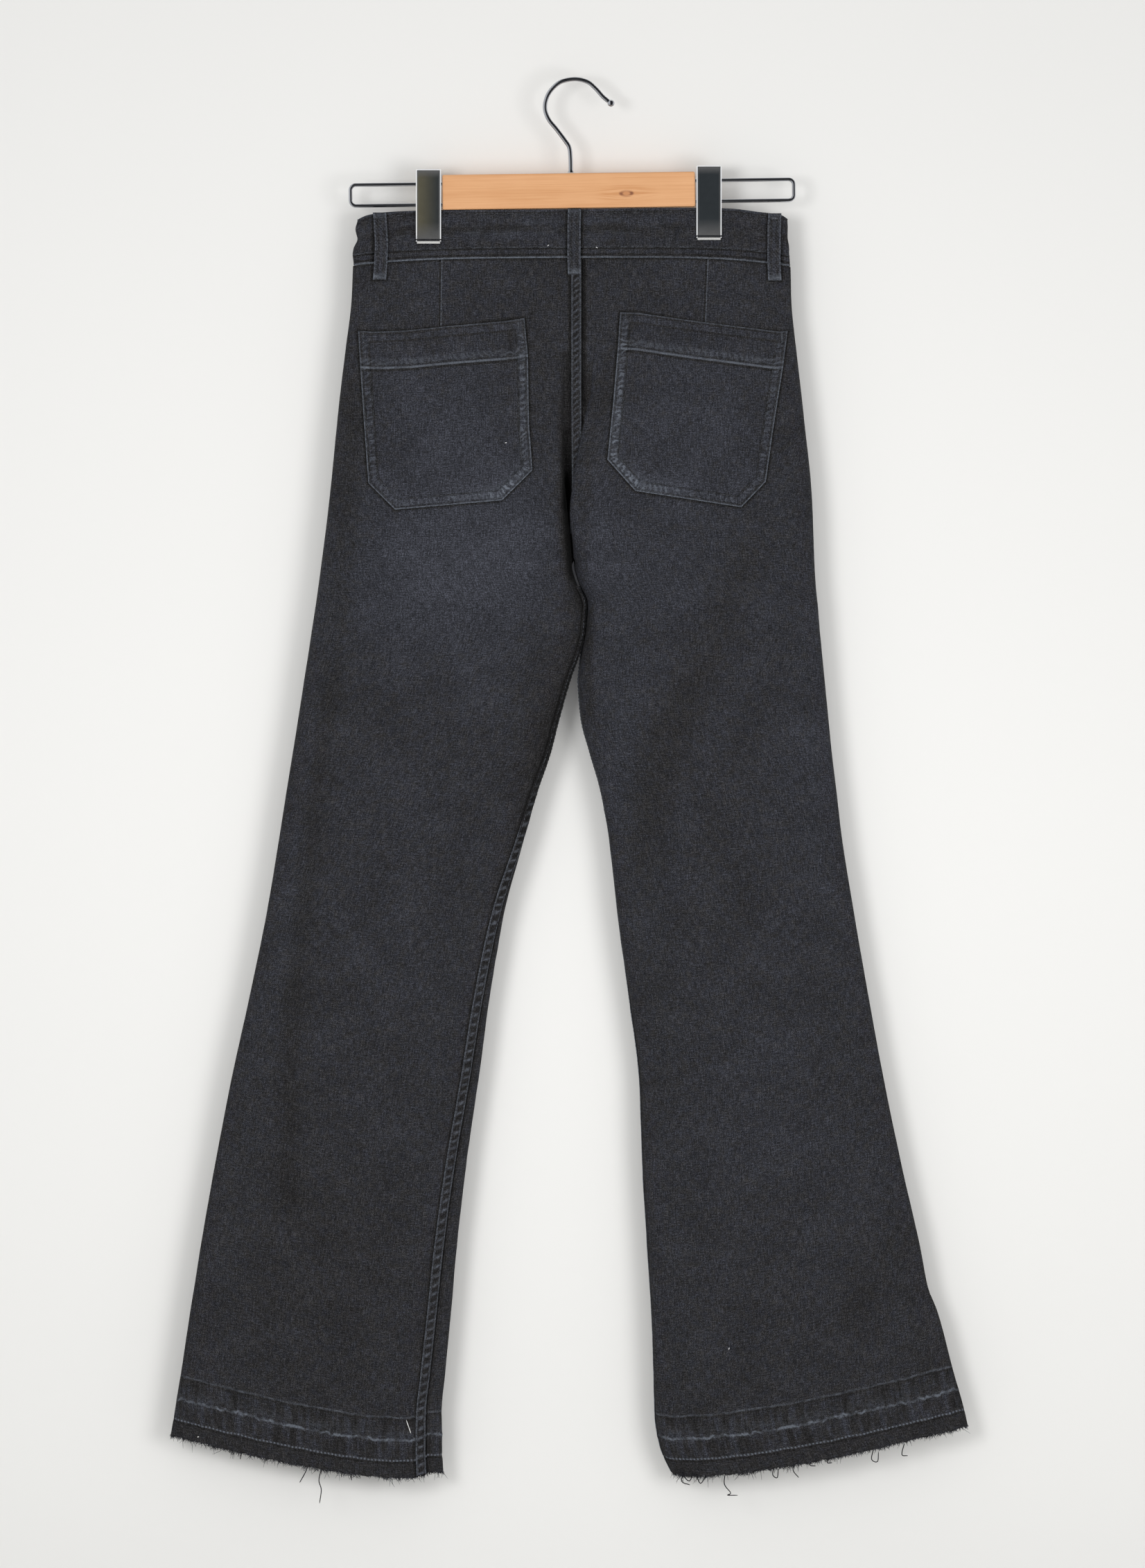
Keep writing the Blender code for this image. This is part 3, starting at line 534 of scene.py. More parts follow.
# height, back depth, front depth, share of the width that rounds at the side seam, and at the inner seam
bodyShape = [
    (-152, 4.2, 4.2, 0.035, 0.15), (-193, 8.0, 6.5, 0.16, 0.15), (-240, 14.0, 9.0, 0.27, 0.11),
    (-288, 19.0, 12.0, 0.35, 0.08), (-343, 22.0, 15.0, 0.40, 0.065), (-397, 24.0, 18.0, 0.43, 0.09),
    (-416, 24.5, 18.5, 0.44, 0.14), (-450, 24.5, 19.0, 0.46, 0.22), (-500, 23.5, 18.5, 0.48, 0.32),
    (-600, 21.0, 17.0, 0.50, 0.45), (-720, 18.0, 15.0, 0.50, 0.50), (-860, 16.0, 14.0, 0.50, 0.50),
    (-1000, 15.0, 14.0, 0.50, 0.50), (-1200, 14.0, 14.0, 0.50, 0.50),
]
# height, seat seam, share of depth lost at the seam, the left panel's roll, the right panel's lobe, and the
# front's loss of depth
seatFold = [
    (-152, 7.0, 0.00, -12.0, 27.0, 0.00), (-193, 7.0, 0.00, -12.5, 28.0, 0.00),
    (-209, 7.0, 0.06, -12.5, 26.0, 0.00), (-242, 7.0, 0.20, -9.2, 16.0, 0.00),
    (-271, 7.0, 0.30, -9.5, 13.7, 0.00), (-286, 7.1, 0.35, -10.0, 9.5, 0.00),
    (-322, 7.3, 0.45, -10.7, 1.8, 0.00), (-343, 7.5, 0.52, -9.2, -1.8, 0.04),
    (-371, 6.5, 0.65, -6.0, -4.6, 0.16), (-397, 3.0, 0.82, -3.6, -2.2, 0.50),
    (-412, 0.0, 0.90, -2.6, -1.0, 0.84),
]
# place, the waistband's lower line, its upper line
bandLines = [
    (-191, -158.6, -119.0), (-181, -157.6, -115.4), (-150, -155.2, -112.0), (-120, -153.7, -111.0),
    (-85, -152.8, -110.8), (0, -152.1, -110.0), (60, -152.0, -109.2), (92, -152.3, -108.9),
    (114, -152.9, -108.9), (133, -153.8, -109.6), (160, -156.1, -112.8), (180, -158.5, -115.4),
    (186, -159.4, -118.4),
]
# height, how far the left inseam has come round onto the back
inseamTurn = [(-152, 0.0), (-560, 0.0), (-640, 2.5), (-705, 6.0), (-790, 9.5), (-870, 11.5), (-1000, 14.0),
              (-1200, 16.5)]
# soft folds: where each starts, bends and ends, its half width and its depth
softFolds = {
    "back": [
        ([(-207, -500), (-226, -650), (-243, -800), (-245, -960)], 16.0, 3.5),
        ([(-197, -290), (-200, -390)], 12.0, 2.0),
        ([(147, -404), (128, -460), (78, -556), (57, -663)], 20.0, 4.0),
        ([(64, -864), (132, -836)], 12.0, 2.5),
        ([(286, -990), (232, -1065)], 17.0, 3.0),
    ],
    "front": [
        ([(-40, -440), (-110, -520), (-150, -640)], 20.0, 4.0),
        ([(-205, -800), (-190, -1010)], 18.0, 3.0),
        ([(45, -440), (112, -540), (140, -660)], 20.0, 4.0),
        ([(165, -840), (222, -1060)], 18.0, 3.0),
    ],
}
# small creases seen on the cloth: a chain of points, half width, height (less than 0 is a valley)
fineCreases = {
    "back": [
        ([(-12, -300), (-13, -345), (-10, -395), (-6, -440), (2, -478)], 3.2, 0.8),
        ([(-20, -330), (-24, -380), (-22, -440)], 6.0, -0.7),
        ([(-113.6, -154), (-114.4, -211)], 1.5, -0.55),
        ([(-117.2, -156), (-117.0, -209)], 1.6, 0.35),
        ([(114.4, -153), (112.4, -209)], 1.5, -0.55),
        ([(118.0, -155), (116.0, -207)], 1.6, 0.35),
        ([(24, -350), (22, -400), (20, -450), (17, -520)], 7.0, 0.9),
        ([(-60, -470), (-28, -430)], 9.0, -0.5),
        ([(-92, -505), (-40, -462)], 10.0, -0.5),
        ([(62, -440), (36, -400)], 9.0, -0.5),
    ],
    "front": [
        ([(-30, -350), (-70, -390)], 8.0, -0.8),
        ([(30, -350), (70, -395)], 8.0, -0.8),
        ([(-25, -380), (-70, -440)], 9.0, -0.8),
        ([(25, -380), (75, -445)], 9.0, -0.8),
    ],
}


def rounded(distance, length):
    # 0 at a rounded edge and 1 from the length on: one minus a power of the share left
    share = np.clip(1 - distance / length, 0, 1)
    power = legForm["roundingPower"]
    return (1 - share**power) ** (1 / power)


def foldDepth(x, z, folds):
    # how far folds press the cloth in: a bell across each chain
    total = np.zeros_like(x)
    for points, halfWidth, depth in folds:
        total += depth * bump(lineDistance(x, z, points)[0], halfWidth)
    return total


def hemRise(side, height):
    # how far the hem's level is raised at the outer side: a smooth step down the leg
    hem = legForm["hems"][side]
    return hem["rise"] * smoothStep((height + 420.0) / (hem["height"] + 420.0) / 0.9)


def levelHeight(side, height, x, inner, outer):
    # a level's points tilt with the leg towards the hem, and follow the waistband at the top
    hem = legForm["hems"][side]
    t = np.clip((x - inner) / (outer - inner), 0, 1)
    rise = hemRise(side, height)
    tilted = rise * t ** hem["power"] - hem["bow"] * rise / hem["rise"] * np.sin(math.pi * np.sqrt(t))
    top = (smoothCurve(bandLines, 1, x) - legForm["waist"]) * smoothStep((height + 260.0) / 100.0)
    return height + tilted + top


def acrossPlaces(width, innerLength, outerLength):
    # places across a panel: powers of a ramp in both rounded edges and even ones between them
    ramp = np.linspace(0, 1, 44) ** legForm["roundingPower"]
    middle = np.linspace(0, 1, 26)[1:-1]
    inner = innerLength[:, None] * ramp
    outer = (width - outerLength)[:, None] * middle + innerLength[:, None] * (1 - middle)
    return np.concatenate([inner, outer, width[:, None] - outerLength[:, None] * ramp[::-1]], axis=1)


def legSection(side, face, height):
    # sections of one panel, a row for each height: a lead at the seat fold, then a body rounded at both edges
    way, back = sides[side], face == "back"
    outerColumn, innerColumn = edgeColumns[side]
    outer = smoothCurve(legEdges, outerColumn, height + hemRise(side, height))
    depth = smoothCurve(bodyShape, 1 if back else 2, height)
    above = height > legForm["crotch"]
    seam = smoothCurve(seatFold, 1, height)
    legInner = smoothCurve(legEdges, innerColumn, height)
    if back:
        start = np.where(above, smoothCurve(seatFold, 3 if side == "left" else 4, height), legInner)
        seam = np.where(above, seam, start)
        floor = np.where(above, depth * (1 - smoothCurve(seatFold, 2, height)), 0.0)
        lap = smoothStep((seam - start) / 8.0) * (side == "right")
        first = floor + legForm["hairpin"] * lap
        base = np.maximum(floor + 0.4 * lap * (depth - floor), first)
        t = np.linspace(0, 1, 12)[:-1]
        lead = np.stack([seam[:, None] + (start - seam)[:, None] * t,
                         -(first[:, None] + (base - first)[:, None] * t)], axis=-1)
    else:
        start = np.where(above, seam * 0.3 - 0.5, legInner)
        base = np.where(above, depth * (1 - smoothCurve(seatFold, 5, height)), 0.0)
    width = np.abs(outer - start)
    inner = smoothCurve(bodyShape, 4, height)
    innerLength = (inner if back else np.maximum(inner, 0.14)) * width
    outerLength = smoothCurve(bodyShape, 3, height) * width
    distance = acrossPlaces(width, innerLength, outerLength)
    x = start[:, None] + way * distance
    far = rounded(width[:, None] - distance, outerLength[:, None])
    near = rounded(distance, innerLength[:, None])
    y = base[:, None] + (depth[:, None] * far - base[:, None]) * near
    y -= foldDepth(x, np.broadcast_to(height[:, None], x.shape), softFolds[face]) * far * near
    body = np.stack([x, -y if back else y], axis=-1)
    return np.concatenate([lead, body], axis=1) if back else body


def panelSection(side, face, height):
    # a section between a panel's two seams; the left inseam lies round on the back
    turn = smoothCurve(inseamTurn, 1, height)
    if side == "right":
        return legSection(side, face, height)
    back = legSection(side, "back", height)
    runs = runLengths(back)
    if face == "back":
        share = np.linspace(0, 1, 24) ** 1.5
        rest = np.concatenate([share * 0.2, np.linspace(0.2, 1, 90)[1:]])
        return atRuns(back, runs, turn[:, None] + (runs[:, -1:] - turn[:, None]) * rest)
    front = legSection(side, "front", height)
    wrapped = atRuns(back, runs, turn[:, None] * np.linspace(1, 0, 8)[:-1])
    wrapped = np.where((turn > 0)[:, None, None], wrapped, front[:, :1])
    return np.concatenate([wrapped, front], axis=1)


# each noise's size, height and stretch along the leg; the puckers' and creases' sizes; the hem's old lines
reliefLook = {
    "noise": [(62.0, 0.75, 0.45), (24.0, 0.28, 0.55), (9.0, 0.08, 0.8)],
    "seamPucker": (11.0, 0.22, 16.0),
    "hemCreases": (6.5, 0.34),
    "hemLines": (14.0, 32.0, 51.0),
}


def clothRelief(side, face, height, run, length, x, z):
    # small rises of the cloth: three sizes of noise, puckers along both seams, creases in the let-down hem
    look = reliefLook
    seed = {"left": 11, "right": 23}[side] + (40 if face == "front" else 0)
    rise = np.zeros_like(run)
    for k, (size, tall, stretch) in enumerate(look["noise"]):
        rise += tall * valueNoise(run, height * stretch, size, seed + k)
    pitch, tall, reach = look["seamPucker"]
    near = bump(np.minimum(run, length - run), reach)
    rise += tall * near * valueNoise(np.zeros_like(run) + seed, height, pitch, seed + 3)
    above = height - legForm["hems"][side]["height"]
    lower, middle, upper = look["hemLines"]
    size, tall = look["hemCreases"]
    zone = smoothStep((above - lower + 2) / 6) * smoothStep((upper + 6 - above) / 10)
    rise += tall * zone * valueNoise(run + 0.15 * above, above * 0.16, size, seed + 4)
    rise += 0.45 * bump(above - middle - 1.0 * valueNoise(run, run * 0, 9.0, seed + 5), 1.6)
    rise -= 0.4 * bump(above - lower, 1.3) + 0.25 * bump(above - upper, 1.5)
    for points, halfWidth, tall in fineCreases[face]:
        rise += tall * bump(lineDistance(x, z, points)[0], halfWidth)
    hold = smoothStep(run / 3.0) * smoothStep((length - run) / 3.0)
    top = smoothStep((legForm["waist"] - height) / 6.0)
    return rise * (0.25 + 0.75 * hold) * top


def panelPoints(side, face, height, place, share=True):
    # points and outward directions of a panel at heights (rows) and places across (shares or runs)
    section = panelSection(side, face, height)
    runs = runLengths(section)
    length = runs[:, -1:] - legForm["seamGap"]
    run = place * length if share else np.minimum(place, length)
    where = run + legForm["seamGap"] / 2
    flat = atRuns(section, runs, where)
    ahead = unit(atRuns(section, runs, where + 0.9) - atRuns(section, runs, where - 0.9))
    turn = -sides[side] if face == "back" else sides[side]
    outward = np.stack([-ahead[..., 1], ahead[..., 0], np.zeros(run.shape)], axis=-1) * turn
    tall = np.broadcast_to(height[:, None], run.shape)
    z = levelHeight(side, height[:, None], flat[..., 0], section[:, :1, 0], section[:, -1:, 0])
    rise = clothRelief(side, face, tall, run, length, flat[..., 0], z)
    points = np.concatenate([flat, z[..., None]], axis=-1) + outward * rise[..., None]
    return points, outward, run, length


def panelHeights(side, step, upperStep):
    # levels from the waist to the raw hem, closer at the seat fold and in the hem
    hem = legForm["hems"][side]["height"]
    top = legForm["waist"] - legForm["bandGap"]
    marks = [top, top - 2.0, legForm["crotch"] + 30, legForm["crotch"] - 80, hem + 60, hem + 1.2, hem]
    steps = [1.0, upperStep, step * 0.7, step, step * 0.42, 0.6]
    parts = [np.linspace(a, b, max(2, int(round((a - b) / s)) + 1))[:-1]
             for a, b, s in zip(marks, marks[1:], steps)]
    return np.concatenate(parts + [[hem]])


# broad lighter and darker spots of the cloth's colour at places seen on the back, partly painted light and
# shade and partly the dye's own unevenness: place, share of the base colour, reach across and down
fadeAndShadeSpots = [
    ((-110, -420), 0.50, 85, 70), ((-60, -520), 0.04, 50, 60), ((80, -425), 0.22, 70, 60),
    ((-150, -640), 0.04, 60, 130), ((120, -620), -0.02, 60, 120), ((-150, -720), 0.04, 50, 120),
    ((-210, -1040), -0.14, 90, 130), ((160, -870), 0.08, 60, 70), ((230, -1000), 0.05, 60, 120),
    ((40, -560), 0.16, 30, 110), ((-30, -540), -0.14, 26, 110), ((210, -560), 0.10, 30, 140),
    ((-150, -185), -0.04, 70, 34), ((110, -185), 0.04, 70, 30), ((8, -300), 0.0, 30, 90),
    ((-112, -290), 0.08, 50, 50), ((105, -290), 0.05, 50, 50), ((-30, -230), -0.04, 20, 60),
    ((-40, -385), 0.24, 44, 60), ((-121, -182), 0.12, 40, 26), ((75, -360), 0.10, 70, 26),
    ((190, -620), 0.08, 40, 130), ((256, -1090), -0.10, 90, 120), ((100, -1150), -0.08, 60, 60),
    ((-296, -1150), -0.08, 60, 50),
]
# the edge of the right panel's lobe, which laps over the seat seam (x, z)
lobeEdge = [(40, -150), (26.2, -208.8), (20.2, -224.3), (16.1, -242.2), (13.7, -270.7), (9.5, -286.2),
            (6.0, -304), (1.8, -321.9), (-1.8, -342.7), (-4.8, -371.3), (-3.0, -396.9), (0.6, -423),
            (6, -438.5), (10.7, -449.8)]
# painted shade in the folds and creases, and painted light on the ridges beside them: a chain, half width,
# share of the colour
foldLightAndShade = [
    ([(-207, -500), (-226, -650), (-243, -800), (-245, -960)], 10.0, -0.17),
    ([(-222, -520), (-240, -660), (-256, -800)], 8.0, 0.07),
    ([(147, -404), (128, -460), (78, -556), (57, -663)], 17.0, -0.17),
    ([(180, -420), (150, -500), (108, -590), (84, -690)], 15.0, 0.07),
    ([(64, -864), (132, -836)], 7.0, -0.10),
    ([(66, -872), (130, -846)], 5.0, 0.08),
    ([(286, -990), (232, -1065)], 14.0, -0.09),
    ([(-192, -262), (-196, -400), (-202, -470)], 12.0, -0.18),
    ([(26, -290), (22, -345), (19, -400), (18, -440)], 9.0, 0.14),
    ([(13, -400), (15, -428)], 3.0, 0.25),
    ([(-6.5, -236), (-7, -290), (-7.5, -345), (-7, -385), (-3, -425)], 4.4, -0.40),
    ([(-7.2, -302), (-7.4, -330), (-7.0, -366)], 3.8, -0.35),
    ([(0, -455), (3, -470), (-10, -520), (-34, -600), (-60, -700)], 10.0, -0.24),
    ([(14, -455), (12, -500), (14, -545)], 3.4, -0.24),
]
# outlines of the pieces that lie on each back panel, and the lines of the two darts
pieceEdges = {
    "left": [
        [(-186, -215), (-184, -246), (-181, -290), (-177, -346), (-154, -369), (-62, -361), (-36, -335),
         (-39, -296), (-40, -236), (-43, -204), (-56, -205.4), (-96, -210.2), (-139, -214.9),
         (-171, -215.9)],
        [(-3.9, -150), (8.3, -150), (8.3, -376), (-3.9, -376)],
        [(-173.4, -150), (-161.6, -150), (-161.6, -170.6), (-173.4, -170.6)],
        [(-5.8, -150), (5.8, -150), (5.8, -166.8), (-5.8, -166.8)],
    ],
    "right": [
        [(39, -199), (37, -230), (33, -277), (28, -326), (52, -353), (143, -367), (164, -345),
         (171, -296), (179, -246), (183, -215), (175.8, -215.8), (151.3, -213.7), (111, -208.6),
         (82, -203.6), (54.8, -199.6)],
        [(-3.9, -150), (8.3, -150), (8.3, -280), (-3.9, -280)],
        [(166.2, -150), (177.8, -150), (177.8, -171.8), (166.2, -171.8)],
        [(-5.8, -150), (5.8, -150), (5.8, -166.8), (-5.8, -166.8)],
    ],
}
dartLines = {"left": [(-114.3, -153.5), (-114.9, -211.0)], "right": [(114.5, -153.0), (112.2, -209.0)]}


def insideOf(x, z, points):
    # whether places lie inside a closed chain: an odd number of its runs lie to their right
    inside = np.zeros(np.shape(x), bool)
    for (ax, az), (bx, bz) in zip(points, points[1:] + points[:1]):
        crossed = (az > z) != (bz > z)
        inside ^= crossed & (x < ax + (bx - ax) * (z - az) / (bz - az if bz != az else 1.0))
    return inside


def underLine(side, x, z):
    # distance outside the nearest piece that lies on the panel, less than 0 under it; painted shadow lies
    # along it
    away = smoothCurve(bandLines, 1, np.clip(x, -190, 185)) - z
    for points in pieceEdges[side]:
        reach = lineDistance(x, z, points + points[:1])[0]
        away = np.minimum(away, np.where(insideOf(x, z, points), -reach, reach))
    return away


def dartLine(side, x, z):
    # distance across from the dart's line, and far off beyond its ends
    (x0, z0), (x1, z1) = dartLines[side]
    beyond = np.maximum(z - z0, z1 - z)
    return x - (x0 + (x1 - x0) * (z - z0) / (z1 - z0)) + 40.0 * np.maximum(beyond, 0)


def foldShade(side, x, z):
    # painted shadow at the seat fold: the left panel is painted dark beside the lobe that laps over it; on
    # the right panel the lobe's own edge is a lighter line, with painted shade in the fold beside it and in a
    # trough further right
    edge = np.interp(-z, [-p[1] for p in lobeEdge], [p[0] for p in lobeEdge])
    gap = edge - x
    window = smoothStep((-215 - z) / 60) * smoothStep((z + 462) / 14)
    deep = smoothStep((-300 - z) / 60)
    if side == "left":
        near = (0.24 + 0.30 * deep) * bump(np.maximum(gap, 0), 4.5 + 2 * deep)
        return -window * (near + (0.10 + 0.14 * deep) * bump(np.maximum(gap, 0), 15 + 8 * deep))
    pale = 0.26 * bump(gap + 0.8, 1.3)
    return window * (pale - 0.16 * bump(gap + 12, 8) - 0.34 * (gap > 0) * bump(gap - 1.5, 5))


def clothFadeAndShade(x, z, face, side=None):
    # share of the base colour: one, with the creases' painted light and shade, the seat fold's painted
    # shadow, the spots and noise added
    total = np.ones_like(x)
    if face == "back":
        for points, halfWidth, amount in foldLightAndShade:
            total += amount * bump(lineDistance(x, z, points)[0], halfWidth)
        if side:
            total += foldShade(side, x, z)
    for (spotX, spotZ), amount, wide, tall in fadeAndShadeSpots:
        total += amount * np.exp(-(((x - spotX) / wide) ** 2) - ((z - spotZ) / tall) ** 2)
    return total * (1 + 0.05 * valueNoise(x, z, 30, 77) + 0.03 * valueNoise(x, z, 11, 78))


# the let-down hem's old lines by height above the raw edge, and its stitch holes' pitch
hemWear = {"lower": 14.5, "middle": 32.0, "upper": 51.5, "stitchPitch": 3.1}


def panelWear(cloth, wear, fade):
    # the let-down hem's old fold lines by height above the raw edge: broken bright dashes and stitch holes
    low, mid, high = hemWear["lower"], hemWear["middle"], hemWear["upper"]
    across, tall = (100.0 * axis for axis in axesOf(cloth)[:2])
    tall = tall + 3.4 * (clothNoise(cloth, 14.0) - 0.5)
    jag = clothNoise(cloth, (4.6, 60.0), 1.0, 0.5, (9.0, 0, 0)) - 0.5
    patches = clothNoise(cloth, (7.0, 5.0), 3.0, 0.65, (0.7, 0, 0))
    broken = ramped(patches, 0.0, 1.0, 0.40, 0.62)
    middle = lineMask(5.0 * jag + tall, mid, 0.3, 1.4) * (0.56 * broken + 0.20)
    blur = lineMask(tall, mid + 3.5, 1.5, 8.0) * (0.09 * broken)
    upper = lineMask(tall, high, 0.3, 1.1) * ramped(patches, 0.10, 0.4, 0.42, 0.66)
    beat = combine("SINE", 2 * math.pi / hemWear["stitchPitch"] * across)
    lower = lineMask(tall, low, 0.3, 0.8) * ramped(beat, 0.12, 0.75, -0.2, 0.6)
    zone = ramped(tall, 0.0, 1.0, low - 1.5, low + 2.5) * ramped(tall, 1.0, 0.0, high - 5.5, high + 0.5)
    creased = clothNoise(cloth, (6.5, 40.0), 2.0, 0.6, (2.0, 0, 0))
    under, dart = attribute(cloth.tree, "under"), attribute(cloth.tree, "dart")
    # painted shadow: the panel is darker up to 3 mm outside each piece that lies on it
    dim = (1.0 - 0.14 * ramped(tall, 1.0, 0.0, low - 3.5, low) + zone * (2.3 * creased - 1.2)
           - 0.35 * lineMask(tall, low - 1.9, 0.3, 1.2) - 0.22 * lineMask(tall, high - 2.0, 0.4, 1.3)
           - 0.5 * ramped(under, 1.0, 0.0, 0.0, 3.0) - 0.45 * lineMask(dart, -1.1, 0.2, 0.9))
    rubbed = ramped(clothNoise(cloth, 2.2, 2.0, 0.7), 0.15, 0.6, 0.35, 0.62)
    return middle + blur + upper + lower + wear + lineMask(dart, 0.2, 0.05, 0.65) * rubbed, fade * dim


panelDenim = denimMaterial("panelDenim", panelWear)
panelSize = {"back": (120, 4.4, 2.3), "front": (64, 6.0, 4.5)}
panelGrids, panelPieces, panelCuts, panelTrims = {}, {}, {}, {}
for side in sides:
    for face, (columns, step, upperStep) in panelSize.items():
        heights = panelHeights(side, step, upperStep)
        share = np.linspace(0, 1, columns)
        share = share - 0.5 * np.sin(2 * math.pi * share) / (2 * math.pi)
        points, outward, run, length = panelPoints(side, face, heights, np.tile(share, (len(heights), 1)))
        raw = smoothStep(1 - (heights - legForm["hems"][side]["height"]) / 5.0)[:, None]
        points[..., 2] += raw * 0.8 * valueNoise(run, run * 0, 3.0, 5)
        panelGrids[side, face] = {"points": points, "outward": outward, "heights": heights}
        tall = np.broadcast_to((heights - legForm["hems"][side]["height"])[:, None], run.shape)
        name = "panel" + face.capitalize() + side.capitalize()
        edge = np.minimum(run, length - run)
        under = underLine(side, points[..., 0], points[..., 2]) if face == "back" else 50.0
        # the left inseam's strip also gets painted shadow beside it on the back panel, below the crotch
        if (side, face) == ("left", "back"):
            under = np.minimum(under, np.where(heights[:, None] < -434, np.abs(run - 5.4) - 4.4, 50.0))
        cloth = np.stack([run, tall], -1)
        # painted shade: the cloth's colour is darker within a few millimetres of each seam, where the cloth
        # turns away from the light
        piece = wall(name, points, points - legForm["cloth"] * outward, panelDenim, cloth, {
            "fade": clothFadeAndShade(points[..., 0], points[..., 2], face, side) * (1 - 0.28 * bump(edge, 2.6)),
            "wear": 0.0,
            "under": under,
            "dart": dartLine(side, points[..., 0], points[..., 2]) if face == "back" else 50.0,
        })
        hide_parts("panel_" + face + "_" + side)
        panelPieces[side, face] = piece
        wide = length[:, 0]
        area = float(np.sum((wide[:-1] + wide[1:]) / 2 * -np.diff(heights))) * mm * mm
        flat = (float(wide.max()) * mm, float(heights[0] - heights[-1]) * mm)
        print(name, len(piece.data.polygons), "faces, flat", [round(v, 3) for v in flat], "area",
              round(area, 3))
        panelCuts[side, face], panelTrims[side, face] = (flat, area), []
print("panels made")


# The felled seams: raised strips that lie on the panels

stripForm = {
    "gap": 0.35,
    "cloth": 0.9,
    "raised": 0.25,
    "inset": 1.2,
    "width": 9.6,
    "seatSeam": {"side": "left", "face": "back", "from": -153.4, "to": -389.0, "pitch": 5.6, "tall": 0.5,
                 "lean": 0.75, "worn": 0.5},
    "inseamLeft": {"side": "left", "face": "back", "from": -434.0, "to": -1194.2, "pitch": 7.7,
                   "tall": 0.5, "lean": 0.1, "worn": 0.75},
    "inseamRight": {"side": "right", "face": "front", "from": -434.0, "to": -1195.2, "pitch": 7.4,
                    "tall": 0.4, "lean": 0.1, "worn": 0.4},
}


def stripWear(cloth, wear, fade):
    # worn blobs on the puckers' tops and thin bright lines along both folded edges
    edge, rough = attribute(cloth.tree, "edgeRun"), clothNoise(cloth, 2.2, 2.0, 0.7)
    lines = ramped(edge, 0.62, 0.0, 0.4, 1.5) * ramped(rough, 0.35, 1.0, 0.4, 0.62)
    return wear * ramped(rough, 0.5, 1.3, 0.35, 0.65) + lines, fade


stripDenim = denimMaterial("stripDenim", stripWear)
threadRows = {name: [] for name in ("seams", "pockets", "band", "loops", "front")}


def makeStrip(name, node):
    # a strip over the panel's own surface, crossed by slanted puckers: a sine along it with a wandering beat
    look = stripForm[name]
    height = np.linspace(look["from"], look["to"], int((look["from"] - look["to"]) / 1.5))
    wide = stripForm["width"] - stripForm["inset"]
    places = spaced(wide, 1.05, (0.3, 0.8, 1.5))
    run = np.tile(stripForm["inset"] + places, (len(height), 1))
    points, outward, run, _ = panelPoints(look["side"], look["face"], height, run, share=False)
    across = np.broadcast_to(places, run.shape)
    tall = np.broadcast_to(height[:, None], run.shape)
    beat = 2 * math.pi * (tall + look["lean"] * across) / look["pitch"]
    beat = beat + 1.6 * valueNoise(tall, tall * 0, 17.0, 31) + 0.5 * valueNoise(across * 3, tall, 6.0, 32)
    wave = 2 * (0.5 + 0.5 * np.sin(beat)) ** 2.2 - 1
    middle = bump((across - wide / 2) / wide, 0.27)
    inside = smoothStep((across - 0.9) / 1.6) * smoothStep((wide - 0.9 - across) / 1.6)
    ends = smoothStep((look["from"] - tall) / 4) * smoothStep((tall - look["to"]) / 4)
    rise = look["tall"] * wave * inside * ends * (0.7 + 0.3 * valueNoise(tall, across, 14, 33))
    thick = stripForm["cloth"] * edgeFall(places, wide, 0.9, 0.35)[None, :]
    low = points + stripForm["gap"] * outward
    high = points + (stripForm["gap"] + thick + rise + stripForm["raised"] * inside)[..., None] * outward
    cloth = np.stack([run + 31.0, tall], -1)
    wearing = np.clip(wave, 0, 1) * middle * look["worn"] * (0.65 + 0.35 * valueNoise(tall, across, 21, 34))
    hidden = 1 - (name == "inseamLeft") * smoothStep((tall + 660) / 80)
    fade = clothFadeAndShade(points[..., 0], points[..., 2], "back") * (0.92 + 0.26 * wave * inside)
    piece = wall(name, high, low, stripDenim, cloth, {
        "fade": fade * (0.7 + 0.3 * hidden),
        "wear": wearing * hidden, "edgeRun": np.minimum(across, wide - across) + 5 * (1 - hidden)})
    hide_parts(node)
    panelTrims[look["side"], look["face"]].append(piece)
    for place in (1.3, wide - 1.3):
        k = nearestTo(places, place)
        threadRows["seams"].append((high[:, k], outward[:, k]))


makeStrip("seatSeam", "seat_seam")
makeStrip("inseamLeft", "inseam_left")
makeStrip("inseamRight", "inseam_right")
print("felled seams made")


# Depth of the finished panels above the crotch, read back as a map

mapX, mapZ = np.arange(-206.0, 206.1, 2.0), np.arange(-440.0, -149.0, 2.0)


def depthMap(side, face):
    # a panel's depth over a grid of places: each row read across, then each column read down
    grid = panelGrids[side, face]["points"]
    grid = grid[panelGrids[side, face]["heights"] > -450]
    order = np.argsort(grid[..., 0], axis=1)
    sortedGrid = np.take_along_axis(grid, order[..., None], axis=1)
    rows = [[np.interp(mapX, row[:, 0], row[:, k]) for row in sortedGrid] for k in (1, 2)]
    depth, tall = np.abs(np.array(rows[0])), np.array(rows[1])
    return np.stack([np.interp(mapZ, tall[::-1, i], depth[::-1, i]) for i in range(len(mapX))])


depthMaps = {key: depthMap(*key) for key in panelGrids}


def depthAt(face, x, z):
    # the map's four nearest values, blended
    i = np.clip((x - mapX[0]) / 2.0, 0, len(mapX) - 1.001)
    j = np.clip((z - mapZ[0]) / 2.0, 0, len(mapZ) - 1.001)
    a, b = i.astype(int), j.astype(int)
    u, v = i - a, j - b
    found = []
    for side in sides:
        field = depthMaps[side, face]
        found.append((field[a, b] * (1 - u) + field[a + 1, b] * u) * (1 - v)
                     + (field[a, b + 1] * (1 - u) + field[a + 1, b + 1] * u) * v)
    return np.where(x < 0, found[0], found[1])


# Back pockets

